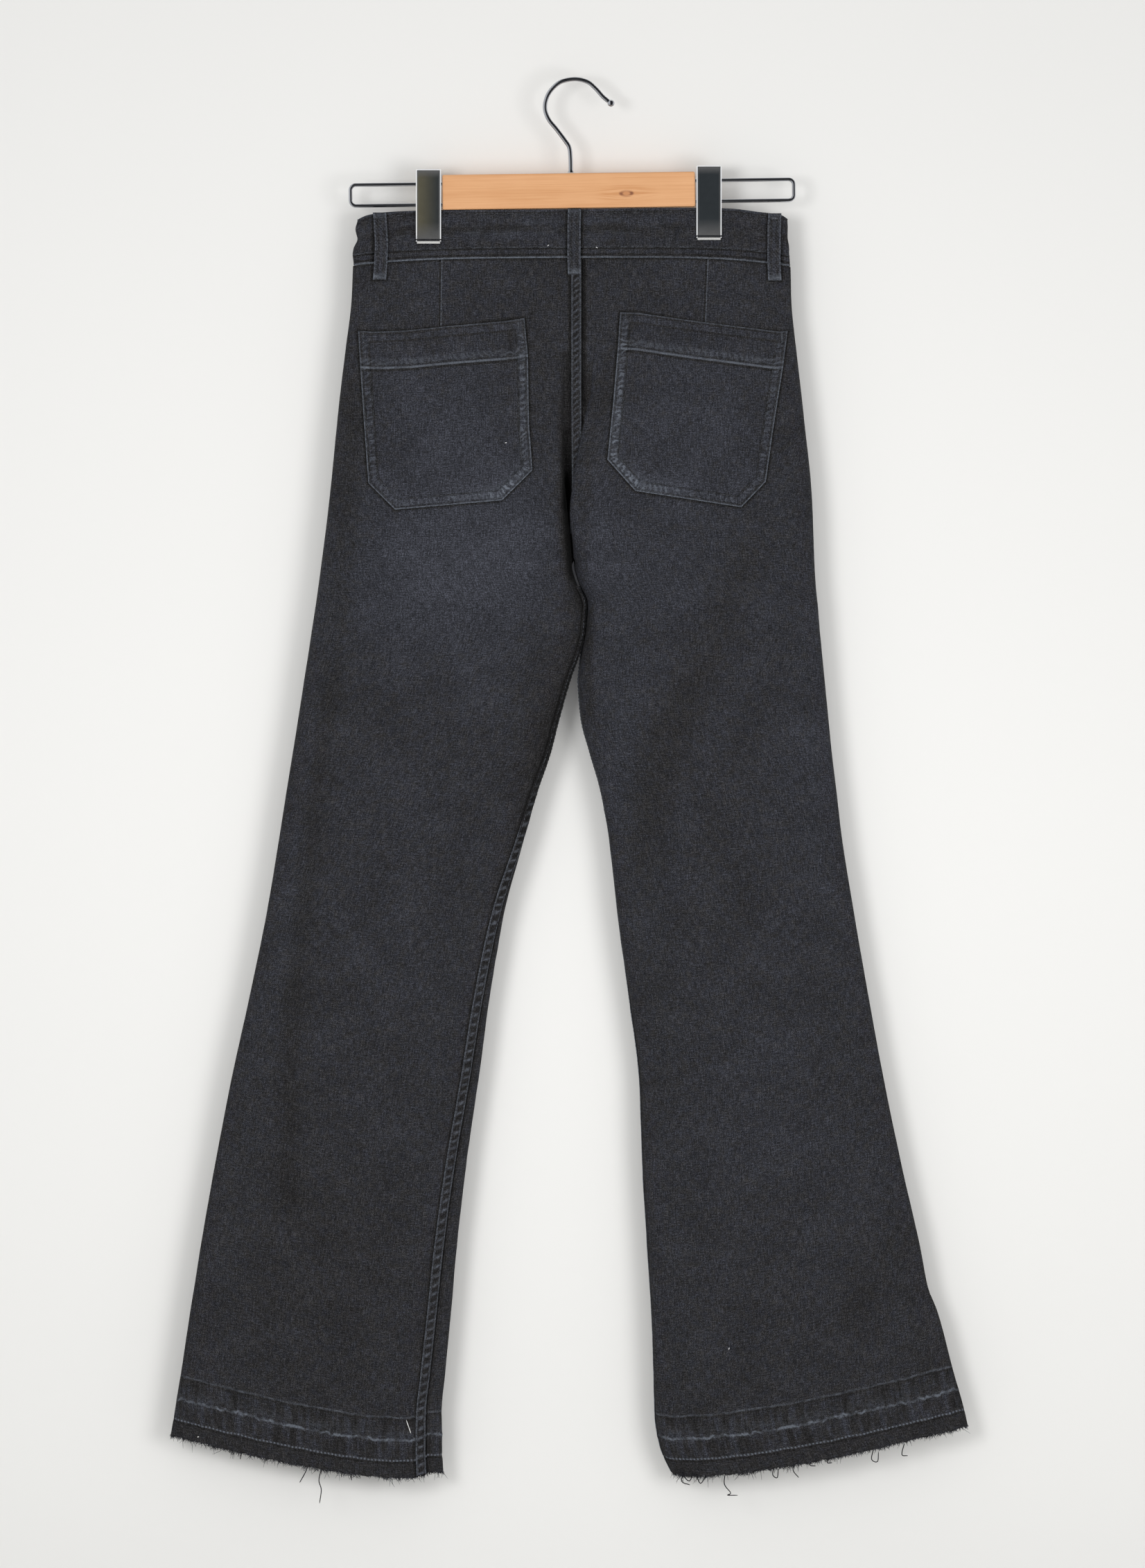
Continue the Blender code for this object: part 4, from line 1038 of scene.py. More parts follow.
pocketForm = {
    "width": 142.0,
    "gap": 0.6,
    "cloth": 1.3,
    "hemCloth": 0.7,
    "turnedCloth": 0.35,
    "left": {
        "left": [(-186, -215), (-184, -246), (-181, -290), (-177, -346), (-154, -369)],
        "right": [(-43, -204), (-40, -236), (-39, -296), (-36, -335), (-62, -361)],
        "top": [(0, 0), (0.1, -2.0), (0.29, -3.0), (0.53, -2.0), (0.9, -1.4), (1, 0)],
        "wornCorner": (-60, -352),
        "wornBeside": (18, 0.35),
        "fold": [(-55.5, -209), (-54.0, -238)],
    },
    "right": {
        "left": [(39, -199), (37, -230), (33, -277), (28, -326), (52, -353)],
        "right": [(183, -215), (179, -246), (171, -296), (164, -345), (143, -367)],
        "top": [(0, 0), (0.11, 1.2), (0.3, 0.2), (0.5, -0.6), (0.78, -1.2), (0.95, -1.6), (1, 0)],
        "wornCorner": (52, -346),
        "wornBeside": (-20, 0.8),
        "fold": [(48, -203), (46, -231)],
    },
}


def pocketWear(cloth, wear, fade):
    # worn outline, blotches between the rows of stitching and a bright hem line, from the piece's distances
    edge, hem, along = (attribute(cloth.tree, name) for name in ("edgeRun", "hemRun", "alongRun"))
    fine, broad = clothNoise(cloth, 2.4, 2.0, 0.7), clothNoise(cloth, 9.0, 2.0, 0.6, (4.0, 2.0, 0))
    outline = (ramped(edge, 0.8, 0.0, 0.3, 1.5) * ramped(fine, 0.4, 1.1, 0.36, 0.62)
               * ramped(hem, 0.55, 1.0, -2.0, 4.0))
    ripple = ramped(combine("SINE", 17.0 * broad + 2 * math.pi / 5.2 * along), 0.0, 1.0, -0.5, 1.0)
    blots = (lineMask(edge, 5.2, 1.6, 2.0) * (0.34 * ripple) * ramped(broad, 0.3, 1.3, 0.40, 0.62)
             * (1.8 * wear + 0.6) * ramped(hem, 0.1, 1.0, -27.0, -18.0))
    line = lineMask(hem, 0.4, 0.3, 1.1) * ramped(broad, 0.35, 0.7, 0.35, 0.6)
    above = lineMask(hem, -4.6, 1.5, 2.6) * (0.2 * ripple + 0.04)
    patch = wear * ramped(fine, 0.06, 0.3, 0.35, 0.65)
    dim = (1.0 - 0.4 * lineMask(hem, 2.3, 0.5, 1.4) - 0.26 * lineMask(edge, 8.7, 0.4, 1.0)
           - 0.26 * lineMask(edge, 2.1, 0.3, 0.8) - 0.3 * lineMask(hem, -1.8, 0.3, 0.9)
           + 0.16 * (lineMask(edge, 5.2, 1.8, 1.6) * ripple))
    return outline + blots + line + above + patch, fade * dim


pocketDenim = denimMaterial("pocketDenim", pocketWear)
pocketTacks, pocketGrids = [], []


def pocketPlane(form, t, s):
    # places on a pocket: two side chains joined across, with the top line's bow fading below the hem
    left, right = np.array(form["left"], float), np.array(form["right"], float)
    at = np.linspace(0, 1, len(left))
    ends = [[np.interp(t, at, chain[:, k]) for k in (0, 1)] for chain in (left, right)]
    x = ends[0][0] * (1 - s) + ends[1][0] * s
    z = ends[0][1] * (1 - s) + ends[1][1] * s
    bow = np.array(form["top"], float)
    return x, z + np.interp(s, bow[:, 0], bow[:, 1]) * smoothStep((0.62 - t) / 0.3)


def makePocket(side):
    # a patch on the back: turned edges, a thicker hem band, sunk rows of stitches and a fold
    form = pocketForm[side]
    chain = np.array(form["left"], float)
    lengths = pathRuns(chain)
    rows = np.unique(np.concatenate([spaced(lengths[-1], 1.5), lengths[1] + np.array([-0.4, 0.0, 0.5, 1.0])]))
    t = np.interp(rows, lengths, np.linspace(0, 1, len(chain)))[:, None]
    wide = pocketForm["width"]
    s = (spaced(wide, 1.5) / wide)[None, :]
    x, z = pocketPlane(form, t * np.ones_like(s), s * np.ones_like(t))
    topS = np.linspace(0, 1, 24)
    topX, topZ = pocketPlane(form, np.zeros(24), topS)
    hemX, hemZ = pocketPlane(form, np.full(24, 0.25), topS)
    outline = np.concatenate([form["left"], np.array(form["right"])[::-1], np.stack([topX, topZ], -1)[::-1]])
    edge, along = lineDistance(x, z, outline)
    hemRun = lineDistance(x, z, np.stack([hemX, hemZ], -1))[0] * np.where(t > 0.25, 1.0, -1.0)
    seed = 51 if side == "left" else 61
    inBand = smoothStep((0.4 - hemRun) / 0.8)
    turned = smoothStep((9.6 - edge) / 1.2)
    zone = smoothStep((edge - 0.9) / 1.4) * smoothStep((8.4 - edge) / 2.0)
    thick = pocketForm["cloth"] * quarterRound(edge, 0.9, 0.35)
    rise = thick + pocketForm["hemCloth"] * inBand + pocketForm["turnedCloth"] * turned * (1 - inBand)
    rise = rise + 0.3 * zone * valueNoise(along, edge * 0.5, 4.2, seed)
    rise = rise + 0.28 * valueNoise(x, z, 26, seed + 1)
    rise = rise + 0.3 * inBand * bump(hemRun + 4.5, 3.0) * valueNoise(x, z * 0.3, 4.5, seed + 2)
    rise = rise - 0.35 * (bump(edge - 1.9, 0.7) + bump(edge - 8.6, 0.7)) * (1 - inBand * 0.6)
    rise = rise - 0.3 * bump(hemRun + 1.8, 0.7) * (edge > 3)
    fold = lineDistance(x, z, form["fold"])[0]
    rise = np.maximum(rise - 0.5 * bump(fold, 1.5) + 0.3 * bump(fold - 3.0, 1.6), 0.3)
    base = depthAt("back", x, z) + pocketForm["gap"]
    low = np.stack([x, -base, z], -1)
    high = np.stack([x, -(base + rise), z], -1)
    pocketGrids.append(high)
    shade = clothFadeAndShade(x, z, "back") * (1.06 + 0.10 * np.clip((edge - 12) / 30, 0, 1))
    shade = shade + 0.14 * bump(edge - 12, 6) * (z < -330) - 0.16 * bump(fold, 2.5)
    corner = form["wornCorner"]
    patch = np.exp(-(((x - corner[0]) / 34) ** 2) - ((z - corner[1]) / 13) ** 2)
    away, amount = form["wornBeside"]
    patch = patch + amount * bump(x - corner[0] - away, 9)
    patch = np.clip(patch, 0, 1) * smoothStep((16 - edge) / 8)
    piece = wall("pocket" + side.capitalize(), high, low, pocketDenim, np.stack([x + 400, z], -1), {
        "fade": shade, "wear": patch, "edgeRun": edge, "hemRun": hemRun, "alongRun": along + 0.3 * edge})
    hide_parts("pocket_" + side)
    centre = outline.mean(axis=0)

    def onPocket(px, pz):
        # thread's places on the pocket's face
        depth = depthAt("back", px, pz) + pocketForm["gap"] + pocketForm["cloth"] + 0.25
        return np.stack([px, -depth, pz], -1)

    def inset(points, amount):
        # a chain moved inwards: each corner along its two runs' inward directions
        run = unit(np.diff(points, axis=0))
        inward = np.stack([-run[:, 1], run[:, 0]], -1)
        inward *= np.sign(np.sum(inward * (centre - (points[:-1] + points[1:]) / 2), axis=1))[:, None]
        first = np.concatenate([inward[:1], inward])
        last = np.concatenate([inward, inward[-1:]])
        corner = first + last
        return points + amount * corner / np.maximum(np.sum(first * corner, axis=1), 0.3)[:, None]

    around = np.concatenate([form["left"], np.array(form["right"], float)[::-1]])
    for amount in (1.9, 8.6):
        path = inset(around, amount)
        run = pathRuns(path)
        fine = alongPath(np.linspace(2.0, run[-1] - 2.0, 500), run, path)
        threadRows["pockets"].append((onPocket(fine[:, 0], fine[:, 1]), facing(-1, 500)))
    fine = np.linspace(0.02, 0.98, 200)
    row = onPocket(np.interp(fine, topS, hemX), np.interp(fine, topS, hemZ) + 1.9)
    row[:, 1] -= pocketForm["hemCloth"]
    threadRows["pockets"].append((row, facing(-1, 200)))
    for (cornerX, cornerZ), way in ((form["left"][0], 1), (form["right"][0], -1)):
        row = onPocket(np.full(12, cornerX + way * 5.0), np.linspace(cornerZ - 1.5, cornerZ - 10.5, 12))
        row[:, 1] -= pocketForm["hemCloth"]
        pocketTacks.append((row, facing(-1, 12)))


for side in sides:
    makePocket(side)
print("pockets made")


# the belt loops' sizes, and each one's place, side and sway
loopForm = {
    "width": 11.5,
    "cloth": 1.6,
    "bow": 1.8,
    "below": 14.5,
    "places": {"back_left": (-167.5, -1.0, 1.6), "back_centre": (0.0, -1.0, -0.5),
               "back_right": (172.0, -1.0, -0.8), "front_left": (-84.0, 1.0, 0.4),
               "front_right": (84.0, 1.0, -0.4)},
}


# Waistband: one strip carried round from the tab over the front, the ends and the back

bandForm = {
    "halfDepth": 4.4,
    "pinch": 1.8,
    "pinchWidth": 21.0,
    "cloth": 2.3,
    "clips": {"left": -125.5, "right": 115.5},
    "tabEnd": 15.0,
    "underEnd": -22.0,
    "tuck": 2.6,
    "ends": (-190.4, 185.8),
    "tall": 43.0,
}
# height, how far the left end and the right end are buckled in
bandBuckle = [(-160, 0.0, 0.0), (-152, -0.3, 0.4), (-144, 0.3, 1.4), (-136, 3.6, 2.6), (-128, 1.6, 2.0),
              (-118, 3.8, 2.4), (-108, 4.2, 2.8)]


def bandWear(cloth, wear, fade):
    # a worn fold along the lower seam, brightest left of the middle, and a faint one along the top
    low, top, under = (attribute(cloth.tree, name) for name in ("edgeRun", "topRun", "under"))
    fine, long = clothNoise(cloth, 2.6, 2.0, 0.7), clothNoise(cloth, (22.0, 5.0), 2.0, 0.6)
    line = ramped(low, 1.1, 0.0, 0.5, 1.9) * ramped(fine, 0.5, 1.1, 0.36, 0.62) * ramped(wear, 0.4, 1.0)
    crest = ramped(top, 0.3, 0.0, 0.3, 1.4) * ramped(long, 0.2, 1.0, 0.4, 0.62)
    streak = lineMask(top, 17.0, 3.0, 7.0) * ramped(long, 0.0, 0.12, 0.52, 0.74)
    rows = lineMask(low, 9.8, 0.3, 0.9) * ramped(fine, 0.0, 0.16, 0.4, 0.62)
    # dim also paints shadow beside the belt loops, up to about 3 mm from their sides
    dim = (1.0 - 0.42 * lineMask(low, 8.4, 0.4, 0.9) - 0.34 * lineMask(low, 2.9, 0.4, 0.9)
           + 0.10 * lineMask(low, 5.6, 1.0, 1.2) - 0.3 * lineMask(top, 3.2, 0.4, 0.8)
           + 0.16 * lineMask(top, 1.0, 0.8, 0.8) - 0.5 * ramped(under, 1.0, 0.0, 0.0, 3.2))
    return line + crest + streak + rows, fade * dim


bandDenim = denimMaterial("bandDenim", bandWear)


def bandHalfDepth(x, share):
    # the clips pinch the band: a flat-topped bell round each, which fades towards the lower seam
    clips = bandForm["clips"].values()
    pinch = sum(np.exp(-(((x - place) / bandForm["pinchWidth"]) ** 4)) for place in clips)
    return bandForm["halfDepth"] - bandForm["pinch"] * pinch * np.minimum(1.0, 3.5 * share)


def bandRoute():
    # each column of the strip: its part, its place along it, and how far it is tucked under
    half, (left, right) = bandForm["halfDepth"], bandForm["ends"]
    return [
        ("front", np.arange(bandForm["tabEnd"], left + half, -2.4), 0.0),
        ("left", np.linspace(90, 270, 20)[1:-1], 0.0),
        ("back", np.arange(left + half, right - half, 1.9), 0.0),
        ("right", np.linspace(-90, 90, 20)[1:-1], 0.0),
        ("front", np.arange(right - half, bandForm["tabEnd"] + 9.0, -2.4), 0.0),
        ("front", np.arange(bandForm["tabEnd"] + 3.0, bandForm["underEnd"], -2.4), bandForm["tuck"]),
    ]


def bandPoints(share):
    # outer and inner points for each height share (rows) and each place of the route (columns)
    half, (left, right) = bandForm["halfDepth"], bandForm["ends"]
    outer, inner, share = [], [], share[:, None]
    for part, value, tucked in bandRoute():
        value = value[None, :]
        if part in ("left", "right"):
            turn = np.stack([np.cos(np.radians(value)), np.sin(np.radians(value))], -1)
            end = left + half if part == "left" else right - half
            place = np.array([end, 0.0]) + half * turn
            back = place - bandForm["cloth"] * turn
            place, back = (np.broadcast_to(p, (len(share), *p.shape[1:])) for p in (place, back))
        else:
            way = -1.0 if part == "back" else 1.0
            deep = bandHalfDepth(value, share) - tucked
            wide = np.broadcast_to(value, deep.shape)
            place = np.stack([wide, way * deep], -1)
            back = np.stack([wide, way * (deep - bandForm["cloth"])], -1)
        x = np.clip(place[..., 0], -190.0, 185.5)
        z = (1 - share) * smoothCurve(bandLines, 1, x) + share * smoothCurve(bandLines, 2, x)
        outer.append(np.concatenate([place, z[..., None]], -1))
        inner.append(np.concatenate([back, z[..., None]], -1))
    return np.concatenate(outer, 1), np.concatenate(inner, 1)


def makeBand():
    # the band over its route, with its fold lines, quilting between the rows of stitches and buckled ends
    tall = bandForm["tall"]
    places = spaced(tall, 1.9, (0.35, 0.9, 1.6))
    outer, inner = bandPoints(places / tall)
    run = runLengths(outer)[:1] + np.zeros((len(places), 1))
    x = outer[..., 0]
    up = np.broadcast_to(places[:, None], x.shape)
    outward = unit((outer - inner) * [1, 1, 0])
    onBack = outward[..., 1] < 0.3
    level = valueNoise(run * 0.16, up, 4.6, 71)
    rise = 0.34 * level * bump(up - 24, 12) + 0.35 * valueNoise(run, up * 0.4, 34, 72)
    rise = rise + 0.16 * valueNoise(run, up, 7, 73)
    rise = rise - 0.3 * bump(up - 8.4, 0.9) - 0.25 * bump(tall - up - 3.0, 0.8)
    rise = rise + 0.3 * bump(up - 4.8, 2.2) * valueNoise(run, up * 0.2, 5, 74) - 0.18 * bump(up - 1.4, 0.6)
    ends = smoothStep((np.abs(x) - 150) / 30)
    rise = rise + ends * onBack * 0.8 * valueNoise(run * 0.7, up * 1.3, 13, 75)
    rise = np.clip(rise, -0.6, 1.2) * smoothStep((43.2 - up) / 2) * smoothStep((up + 0.2) / 1.2)
    fall = edgeFall(places, tall, 1.0, 0.45)[:, None]
    middle = (outer + inner) / 2
    half = (bandForm["cloth"] / 2 * fall)[..., None]
    high, low = middle + outward * (half + rise[..., None]), middle - outward * half
    for grid in (high, low):
        tuckLeft, tuckRight = (smoothCurve(bandBuckle, column, grid[..., 2]) for column in (1, 2))
        grid[..., 0] += tuckLeft * smoothStep((-168 - grid[..., 0]) / 20)
        grid[..., 0] -= tuckRight * smoothStep((grid[..., 0] - 163) / 20)
    worn = 0.3 + 1.3 * bump(x + 75, 85) + 0.25 * bump(x - 150, 40)
    # painted light and shade of the band's ripples: the colour follows the ripple noise of the relief, and a
    # light, a dark and a light band run along it
    shade = 0.98 + 0.05 * valueNoise(run, up, 20, 76) + 0.26 * level * bump(up - 24, 10)
    shade = shade * (1 + 0.10 * bump(up - 19, 4) - 0.12 * bump(up - 26, 3.5) + 0.10 * bump(up - 33, 4))
    # painted shadow beside the belt loops on the back: each place's distance from the nearest loop's side
    loops = np.array([place for place, way, sway in loopForm["places"].values() if way < 0])
    beside = np.abs(x[..., None] - loops).min(axis=-1) - loopForm["width"] / 2 + 50.0 * (outward[..., 1] > 0)
    piece = wall("waistbandCloth", high, low, bandDenim, np.stack([run, up], -1), {
        "fade": shade, "wear": worn, "edgeRun": up, "topRun": tall - up, "under": beside})
    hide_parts("waistband")
    for height in (1.4, 8.4, tall - 3.0):
        k = nearestTo(places, height)
        threadRows["band"].append((high[k], outward[k]))
    return high, outward


bandHigh, bandOutward = makeBand()
print("waistband made", round(float(runLengths(bandHigh)[0, -1])), "mm long")


def bandDepthAt(face, x, z):
    # the finished waistband's depth at a place, from the nearest columns of its own grid
    way = -1 if face == "back" else 1
    columns = np.where(bandOutward[0, :, 1] * way > 0.9)[0]
    columns = columns[np.argsort(bandHigh[0, columns, 0])]
    grid = bandHigh[:, columns]
    depth = np.stack([np.interp(x, grid[i, :, 0], np.abs(grid[i, :, 1])) for i in range(len(grid))])
    tall = np.stack([np.interp(x, grid[i, :, 0], grid[i, :, 2]) for i in range(len(grid))])
    inside = (z >= tall[0]) & (z <= tall[-1] + 0.5)
    nearest = np.abs(tall - z).argmin(axis=0)
    return np.where(inside, np.take_along_axis(depth, nearest[None], 0)[0], 0.0)


# Belt loops

def loopWear(cloth, wear, fade):
    # pale folded edges and a slanted twill that shows where the loop is rubbed
    edge, fine = attribute(cloth.tree, "edgeRun"), clothNoise(cloth, 2.0, 2.0, 0.7)
    lines = ramped(edge, 0.5, 0.0, 0.3, 1.9) * ramped(fine, 0.15, 1.2, 0.38, 0.62)
    across, along = axesOf(cloth)[:2]
    slant = 2 * math.pi * 100 / 3.4 * along + 2 * math.pi * 100 / 2.6 * across
    twill = ramped(combine("SINE", slant), 0.0, 1.0, -0.4, 1.0) * ramped(fine, 0.0, 0.16, 0.4, 0.6)
    return lines + twill + wear, fade


loopDenim = denimMaterial("loopDenim", loopWear)
loopTacks = []


def makeLoop(name, place, way, sway):
    # a folded strip that stands off the waistband in a shallow arch and is sewn flat at both ends
    face = "back" if way < 0 else "front"
    top = float(smoothCurve(bandLines, 2, place)) + 0.2
    bottom = float(smoothCurve(bandLines, 1, place)) - loopForm["below"]
    length = top - bottom
    rows, columns = spaced(length, 1.3), spaced(loopForm["width"], 0.95, (0.3, 0.8, 1.4))
    t = (rows / length)[:, None] * np.ones_like(columns)
    z = top - t * length
    x = place + columns[None, :] - loopForm["width"] / 2 + sway * np.sin(math.pi * t)
    x = x + 0.25 * valueNoise(t * 60, t, 14, 81)
    belowBand = z < float(smoothCurve(bandLines, 1, place))
    under = np.where(belowBand, depthAt(face, x, np.minimum(z, -153.0)), 0.0)
    under = np.maximum(under, np.maximum(bandForm["halfDepth"], bandDepthAt(face, x, z)))
    flat = np.maximum.accumulate(under.max(axis=1))[:, None]
    base = flat + 0.35 + loopForm["bow"] * np.sin(math.pi * t) ** 0.8
    edge = np.minimum(columns, loopForm["width"] - columns)[None, :] * np.ones_like(t)
    ends = np.minimum(rows, length - rows)[:, None]
    fall = edgeFall(columns, loopForm["width"], 0.9, 0.4)[None, :] * edgeFall(rows, length, 0.8, 0.5)[:, None]
    groove = 0.16 * bump(edge - 2.3, 0.6) + 0.25 * bump(edge - 5.7, 2.2)
    thick = loopForm["cloth"] * fall - groove + 0.1 * valueNoise(t * length, edge, 6, 82)
    thick = thick - 0.45 * (bump(ends - 4.5, 1.6)) * smoothStep(edge / 2)
    low, high = np.stack([x, way * base, z], -1), np.stack([x, way * (base + thick), z], -1)
    pieceName = "beltLoop" + "".join(word.capitalize() for word in name.split("_"))
    down = rows[:, None]
    piece = wall(pieceName, high, low, loopDenim, np.stack([x + 700, z], -1), {
        "fade": 1.08 - 0.3 * bump(edge - 3.4, 1.1) + 0.1 * bump(edge - 5.7, 1.5),
        "wear": 0.5 * bump(length - down - 2.8, 2.2) + 0.14 * bump(down - 2.0, 2.0),
        "edgeRun": edge})
    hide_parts("belt_loop_" + name)
    for place in (2.3, loopForm["width"] - 2.3):
        threadRows["loops"].append((high[3:-3, nearestTo(columns, place)], facing(way, len(rows) - 6)))
    for end in (length - 3.2, 4.2):
        loopTacks.append((high[nearestTo(rows, end), 2:-2], facing(way, len(columns) - 4)))


for name, (place, way, sway) in loopForm["places"].items():
    makeLoop(name, place, way, sway)
print("belt loops made")


# Fly and pocket mouths on the front

def frontPatch(name, node, left, right, thickness, side, stitched, spare):
    # a flat piece between two smooth side chains, lying on the front panel, with two rows of stitches
    left, right = smoothPath(left, 60), smoothPath(right, 60)
    length = float(np.linalg.norm(np.diff(left, axis=0), axis=1).sum())
    rows = spaced(length, 2.0)
    wide = float(np.linalg.norm(left - right, axis=1).mean())
    columns = spaced(wide, 1.6)
    t, s = (rows / length)[:, None], (columns / wide)[None, :]
    at = np.linspace(0, 1, 60)
    ends = [[np.interp(t, at, chain[:, k]) for k in (0, 1)] for chain in (left, right)]
    x, z = (ends[0][k] * (1 - s) + ends[1][k] * s for k in (0, 1))
    edge = np.minimum(np.minimum(columns, wide - columns)[None, :], np.minimum(rows, length - rows)[:, None])
    base = depthAt("front", x, z) + 0.6
    thick = thickness * quarterRound(edge, 0.9, 0.35) + 0.15 * valueNoise(x, z, 8, 91)
    low, high = np.stack([x, base, z], -1), np.stack([x, base + thick, z], -1)
    piece = wall(name, high, low, loopDenim, np.stack([x + 900, z], -1), {
        "fade": 1.0 + 0 * x, "wear": 0.1 * bump(edge - 1, 1), "edgeRun": edge})
    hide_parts(node)
    panelTrims[side, "front"].append(piece)
    for place in stitched:
        row = high[spare:-spare, nearestTo(columns, place)]
        threadRows["front"].append((row, facing(1, len(row))))


frontPatch(
    "flyCloth", "fly", [(-37, -156), (-37, -200), (-37, -250), (-33, -290), (-22, -312), (-4, -326)],
    [(-2.5, -156), (-2.5, -200), (-2.5, -250), (-2.5, -290), (-2.5, -312), (-2.5, -330)],
    1.3, "left", (1.6, 8.0), 3)
for side, way in sides.items():
    turn = np.linspace(0, math.pi / 2, 24)
    arcs = [np.stack([way * (176.0 - (58 + reach) * np.cos(turn)), -156.5 - (82 + reach) * np.sin(turn)], -1)
            for reach in (0.0, 8.0)]
    frontPatch("frontPocketEdge" + side.capitalize(), "front_pocket_edge_" + side, *arcs, 1.0, side,
               (1.5, 6.5), 2)
print("fly and pocket mouths made")


# Thread

def threadMaterial(name, dark, light):
    # twisted thread: slanted fine bands over a slow change of shade
    material, tree = startMaterial(name)
    where = objectPlace(tree)
    slow, fine = noiseOf(where, 160.0, 2.0, 0.6), noiseOf(where, 1500.0, 1.0, 0.5)
    share = 0.5 * fine + (ramped(slow, 0.0, 1.0, 0.35, 0.7) - 0.2)
    return dress(material, {"Base Color": mixColour(share, dark, light), "Normal": bumped(fine, 0.4, 0.05),
                            "Roughness": 0.75, "Specular IOR Level": 0.25})


blackThread = threadMaterial("blackThread", rgb(0.010, 0.010, 0.011), rgb(0.085, 0.092, 0.108))
stitchPieces = {
    "seams": dict(pitch=3.2, length=2.5, thickness=0.55),
    "pockets": dict(pitch=3.0, length=2.4, thickness=0.55),
    "band": dict(pitch=3.4, length=2.8, thickness=0.6),
    "loops": dict(pitch=2.8, length=2.2, thickness=0.5),
    "front": dict(pitch=3.0, length=2.4, thickness=0.6),
}
for group, values in stitchPieces.items():
    stitches(group + "Stitches", threadRows[group], blackThread, **values)
wornThread = threadMaterial("wornThread", rgb(0.07, 0.075, 0.085), rgb(0.42, 0.45, 0.50))
for group, rows in (("loop", loopTacks), ("pocket", pocketTacks)):
    stitches(group + "Tacks", rows, wornThread, pitch=0.62, length=0.5, thickness=0.6, lift=0.12, slant=2.2)
print("thread made")


# Raw hems: fibres round each leg's cut edge, and the loose threads that hang from it

frayForm = {"count": 2600, "length": (1.2, 3.4), "thickness": 0.42, "longShare": 0.06}


def frayMaterial():
    # matt cotton, from dyed to pale by each fibre's own shade
    material, tree = startMaterial("frayedCotton")
    colour = mixColour(attribute(tree, "shade"), rgb(0.012, 0.012, 0.014), rgb(0.17, 0.18, 0.21))
    return dress(material, {"Base Color": colour, "Roughness": 0.9, "Specular IOR Level": 0.1})


frayed = frayMaterial()


def makeFray(side):
    # curved fibres: each starts in the cut edge, leans at random and droops, a three-sided tube of five rings
    draw = np.random.default_rng(101 if side == "left" else 102)
    edges = [panelGrids[side, face] for face in ("back", "front")]
    line = np.concatenate([edges[0]["points"][-1], edges[1]["points"][-1][::-1]])
    away = np.concatenate([edges[0]["outward"][-1], edges[1]["outward"][-1][::-1]])
    run = pathRuns(line)
    count = frayForm["count"]
    at = draw.uniform(0, run[-1], count)
    start, normal = alongPath(at, run, line), unit(alongPath(at, run, away))
    start -= normal * draw.uniform(0.1, legForm["cloth"] - 0.1, (count, 1))
    start[:, 2] += draw.uniform(0.3, 1.2, count)
    length = draw.uniform(*frayForm["length"], count) * (0.55 + 0.45 * valueNoise(at, at * 0, 14, 103))
    isLong = draw.uniform(0, 1, count) < frayForm["longShare"]
    length = length + 0.6 + isLong * draw.uniform(1.5, 4.5, count)
    lean = unit(draw.normal(0, 0.75, (count, 3)) * [1, 0.8, 0.2] + [0, 0, -1])
    curl = draw.normal(0, 0.8, (count, 3)) + [0, 0, -0.35]
    t = np.linspace(0, 1, 5)[None, :, None]
    centres = start[:, None] + length[:, None, None] * (lean[:, None] * t + curl[:, None] * 0.45 * t**2)
    ahead = unit(np.gradient(centres, axis=1))
    first = unit(np.cross(ahead, [0.13, 0.97, 0.21]))
    second = np.cross(ahead, first)
    radius = frayForm["thickness"] / 2 * np.array([1.0, 1.0, 0.9, 0.75, 0.35])[None, :, None]
    ring = [centres + (first * math.cos(a) + second * math.sin(a)) * radius for a in (0.0, 2.094, 4.189)]
    points = np.stack(ring, axis=2).reshape(-1, 3)
    shade = np.repeat(draw.beta(0.4, 3.0, count), 15)
    faces = manyOf(points, tubeFaces(5, 3), count)
    piece = meshObject("fray" + side.capitalize(), points, faces, frayed, None, {"shade": shade})
    return piece


for side in sides:
    panelTrims[side, "back"].append(makeFray(side))
# loose threads, as places seen on the back (x, z)
looseThreads = {
    "left": [[(-229, -1189), (-231, -1195), (-236, -1204)],
             [(-217, -1191), (-219.5, -1202), (-217.5, -1210), (-219, -1222)],
             [(-286, -1178), (-287, -1184)], [(-192, -1193), (-191.5, -1202)],
             [(-160, -1195), (-163, -1200)]],
    "right": [[(90, -1193), (98, -1203), (103, -1196), (108, -1205), (112, -1197), (104, -1192)],
              [(94, -1194), (92, -1203), (99, -1206)],
              [(130, -1193), (128.5, -1205), (134, -1213), (131, -1215), (140, -1215)],
              [(172, -1189), (170, -1197), (174, -1200), (175, -1192)],
              [(190, -1183), (187.5, -1193), (192.5, -1200)],
              [(204, -1182), (202, -1189), (207, -1190)], [(219, -1181), (217, -1187), (221, -1187)],
              [(257, -1174), (255, -1184), (260, -1186), (261, -1178)],
              [(283, -1171), (281, -1180), (286, -1181)]],
}
for side, threads in looseThreads.items():
    tubes = []
    for k, places in enumerate(threads):
        path = smoothPath([(x, -9.0 + 2.0 * math.sin(2.1 * j + k), z) for j, (x, z) in enumerate(places)], 28)
        radii = 0.46 * np.interp(np.arange(28), [0, 25, 27], [1, 0.9, 0.5])
        tubes.append(sweptTube(path, radii, 5, (0.1, 0.9, 0.3)))
    points = np.concatenate(tubes)
    faces, shade = manyOf(points, tubeFaces(28, 5), len(tubes)), np.full(len(points), 0.02)
    piece = meshObject("looseThreads" + side.capitalize(), points, faces, frayed, None, {"shade": shade})
    panelTrims[side, "back"].append(piece)
print("raw hems made")


# Hanger: the bar and the button keep their solids; hook, wires and clips are made again with finer sections

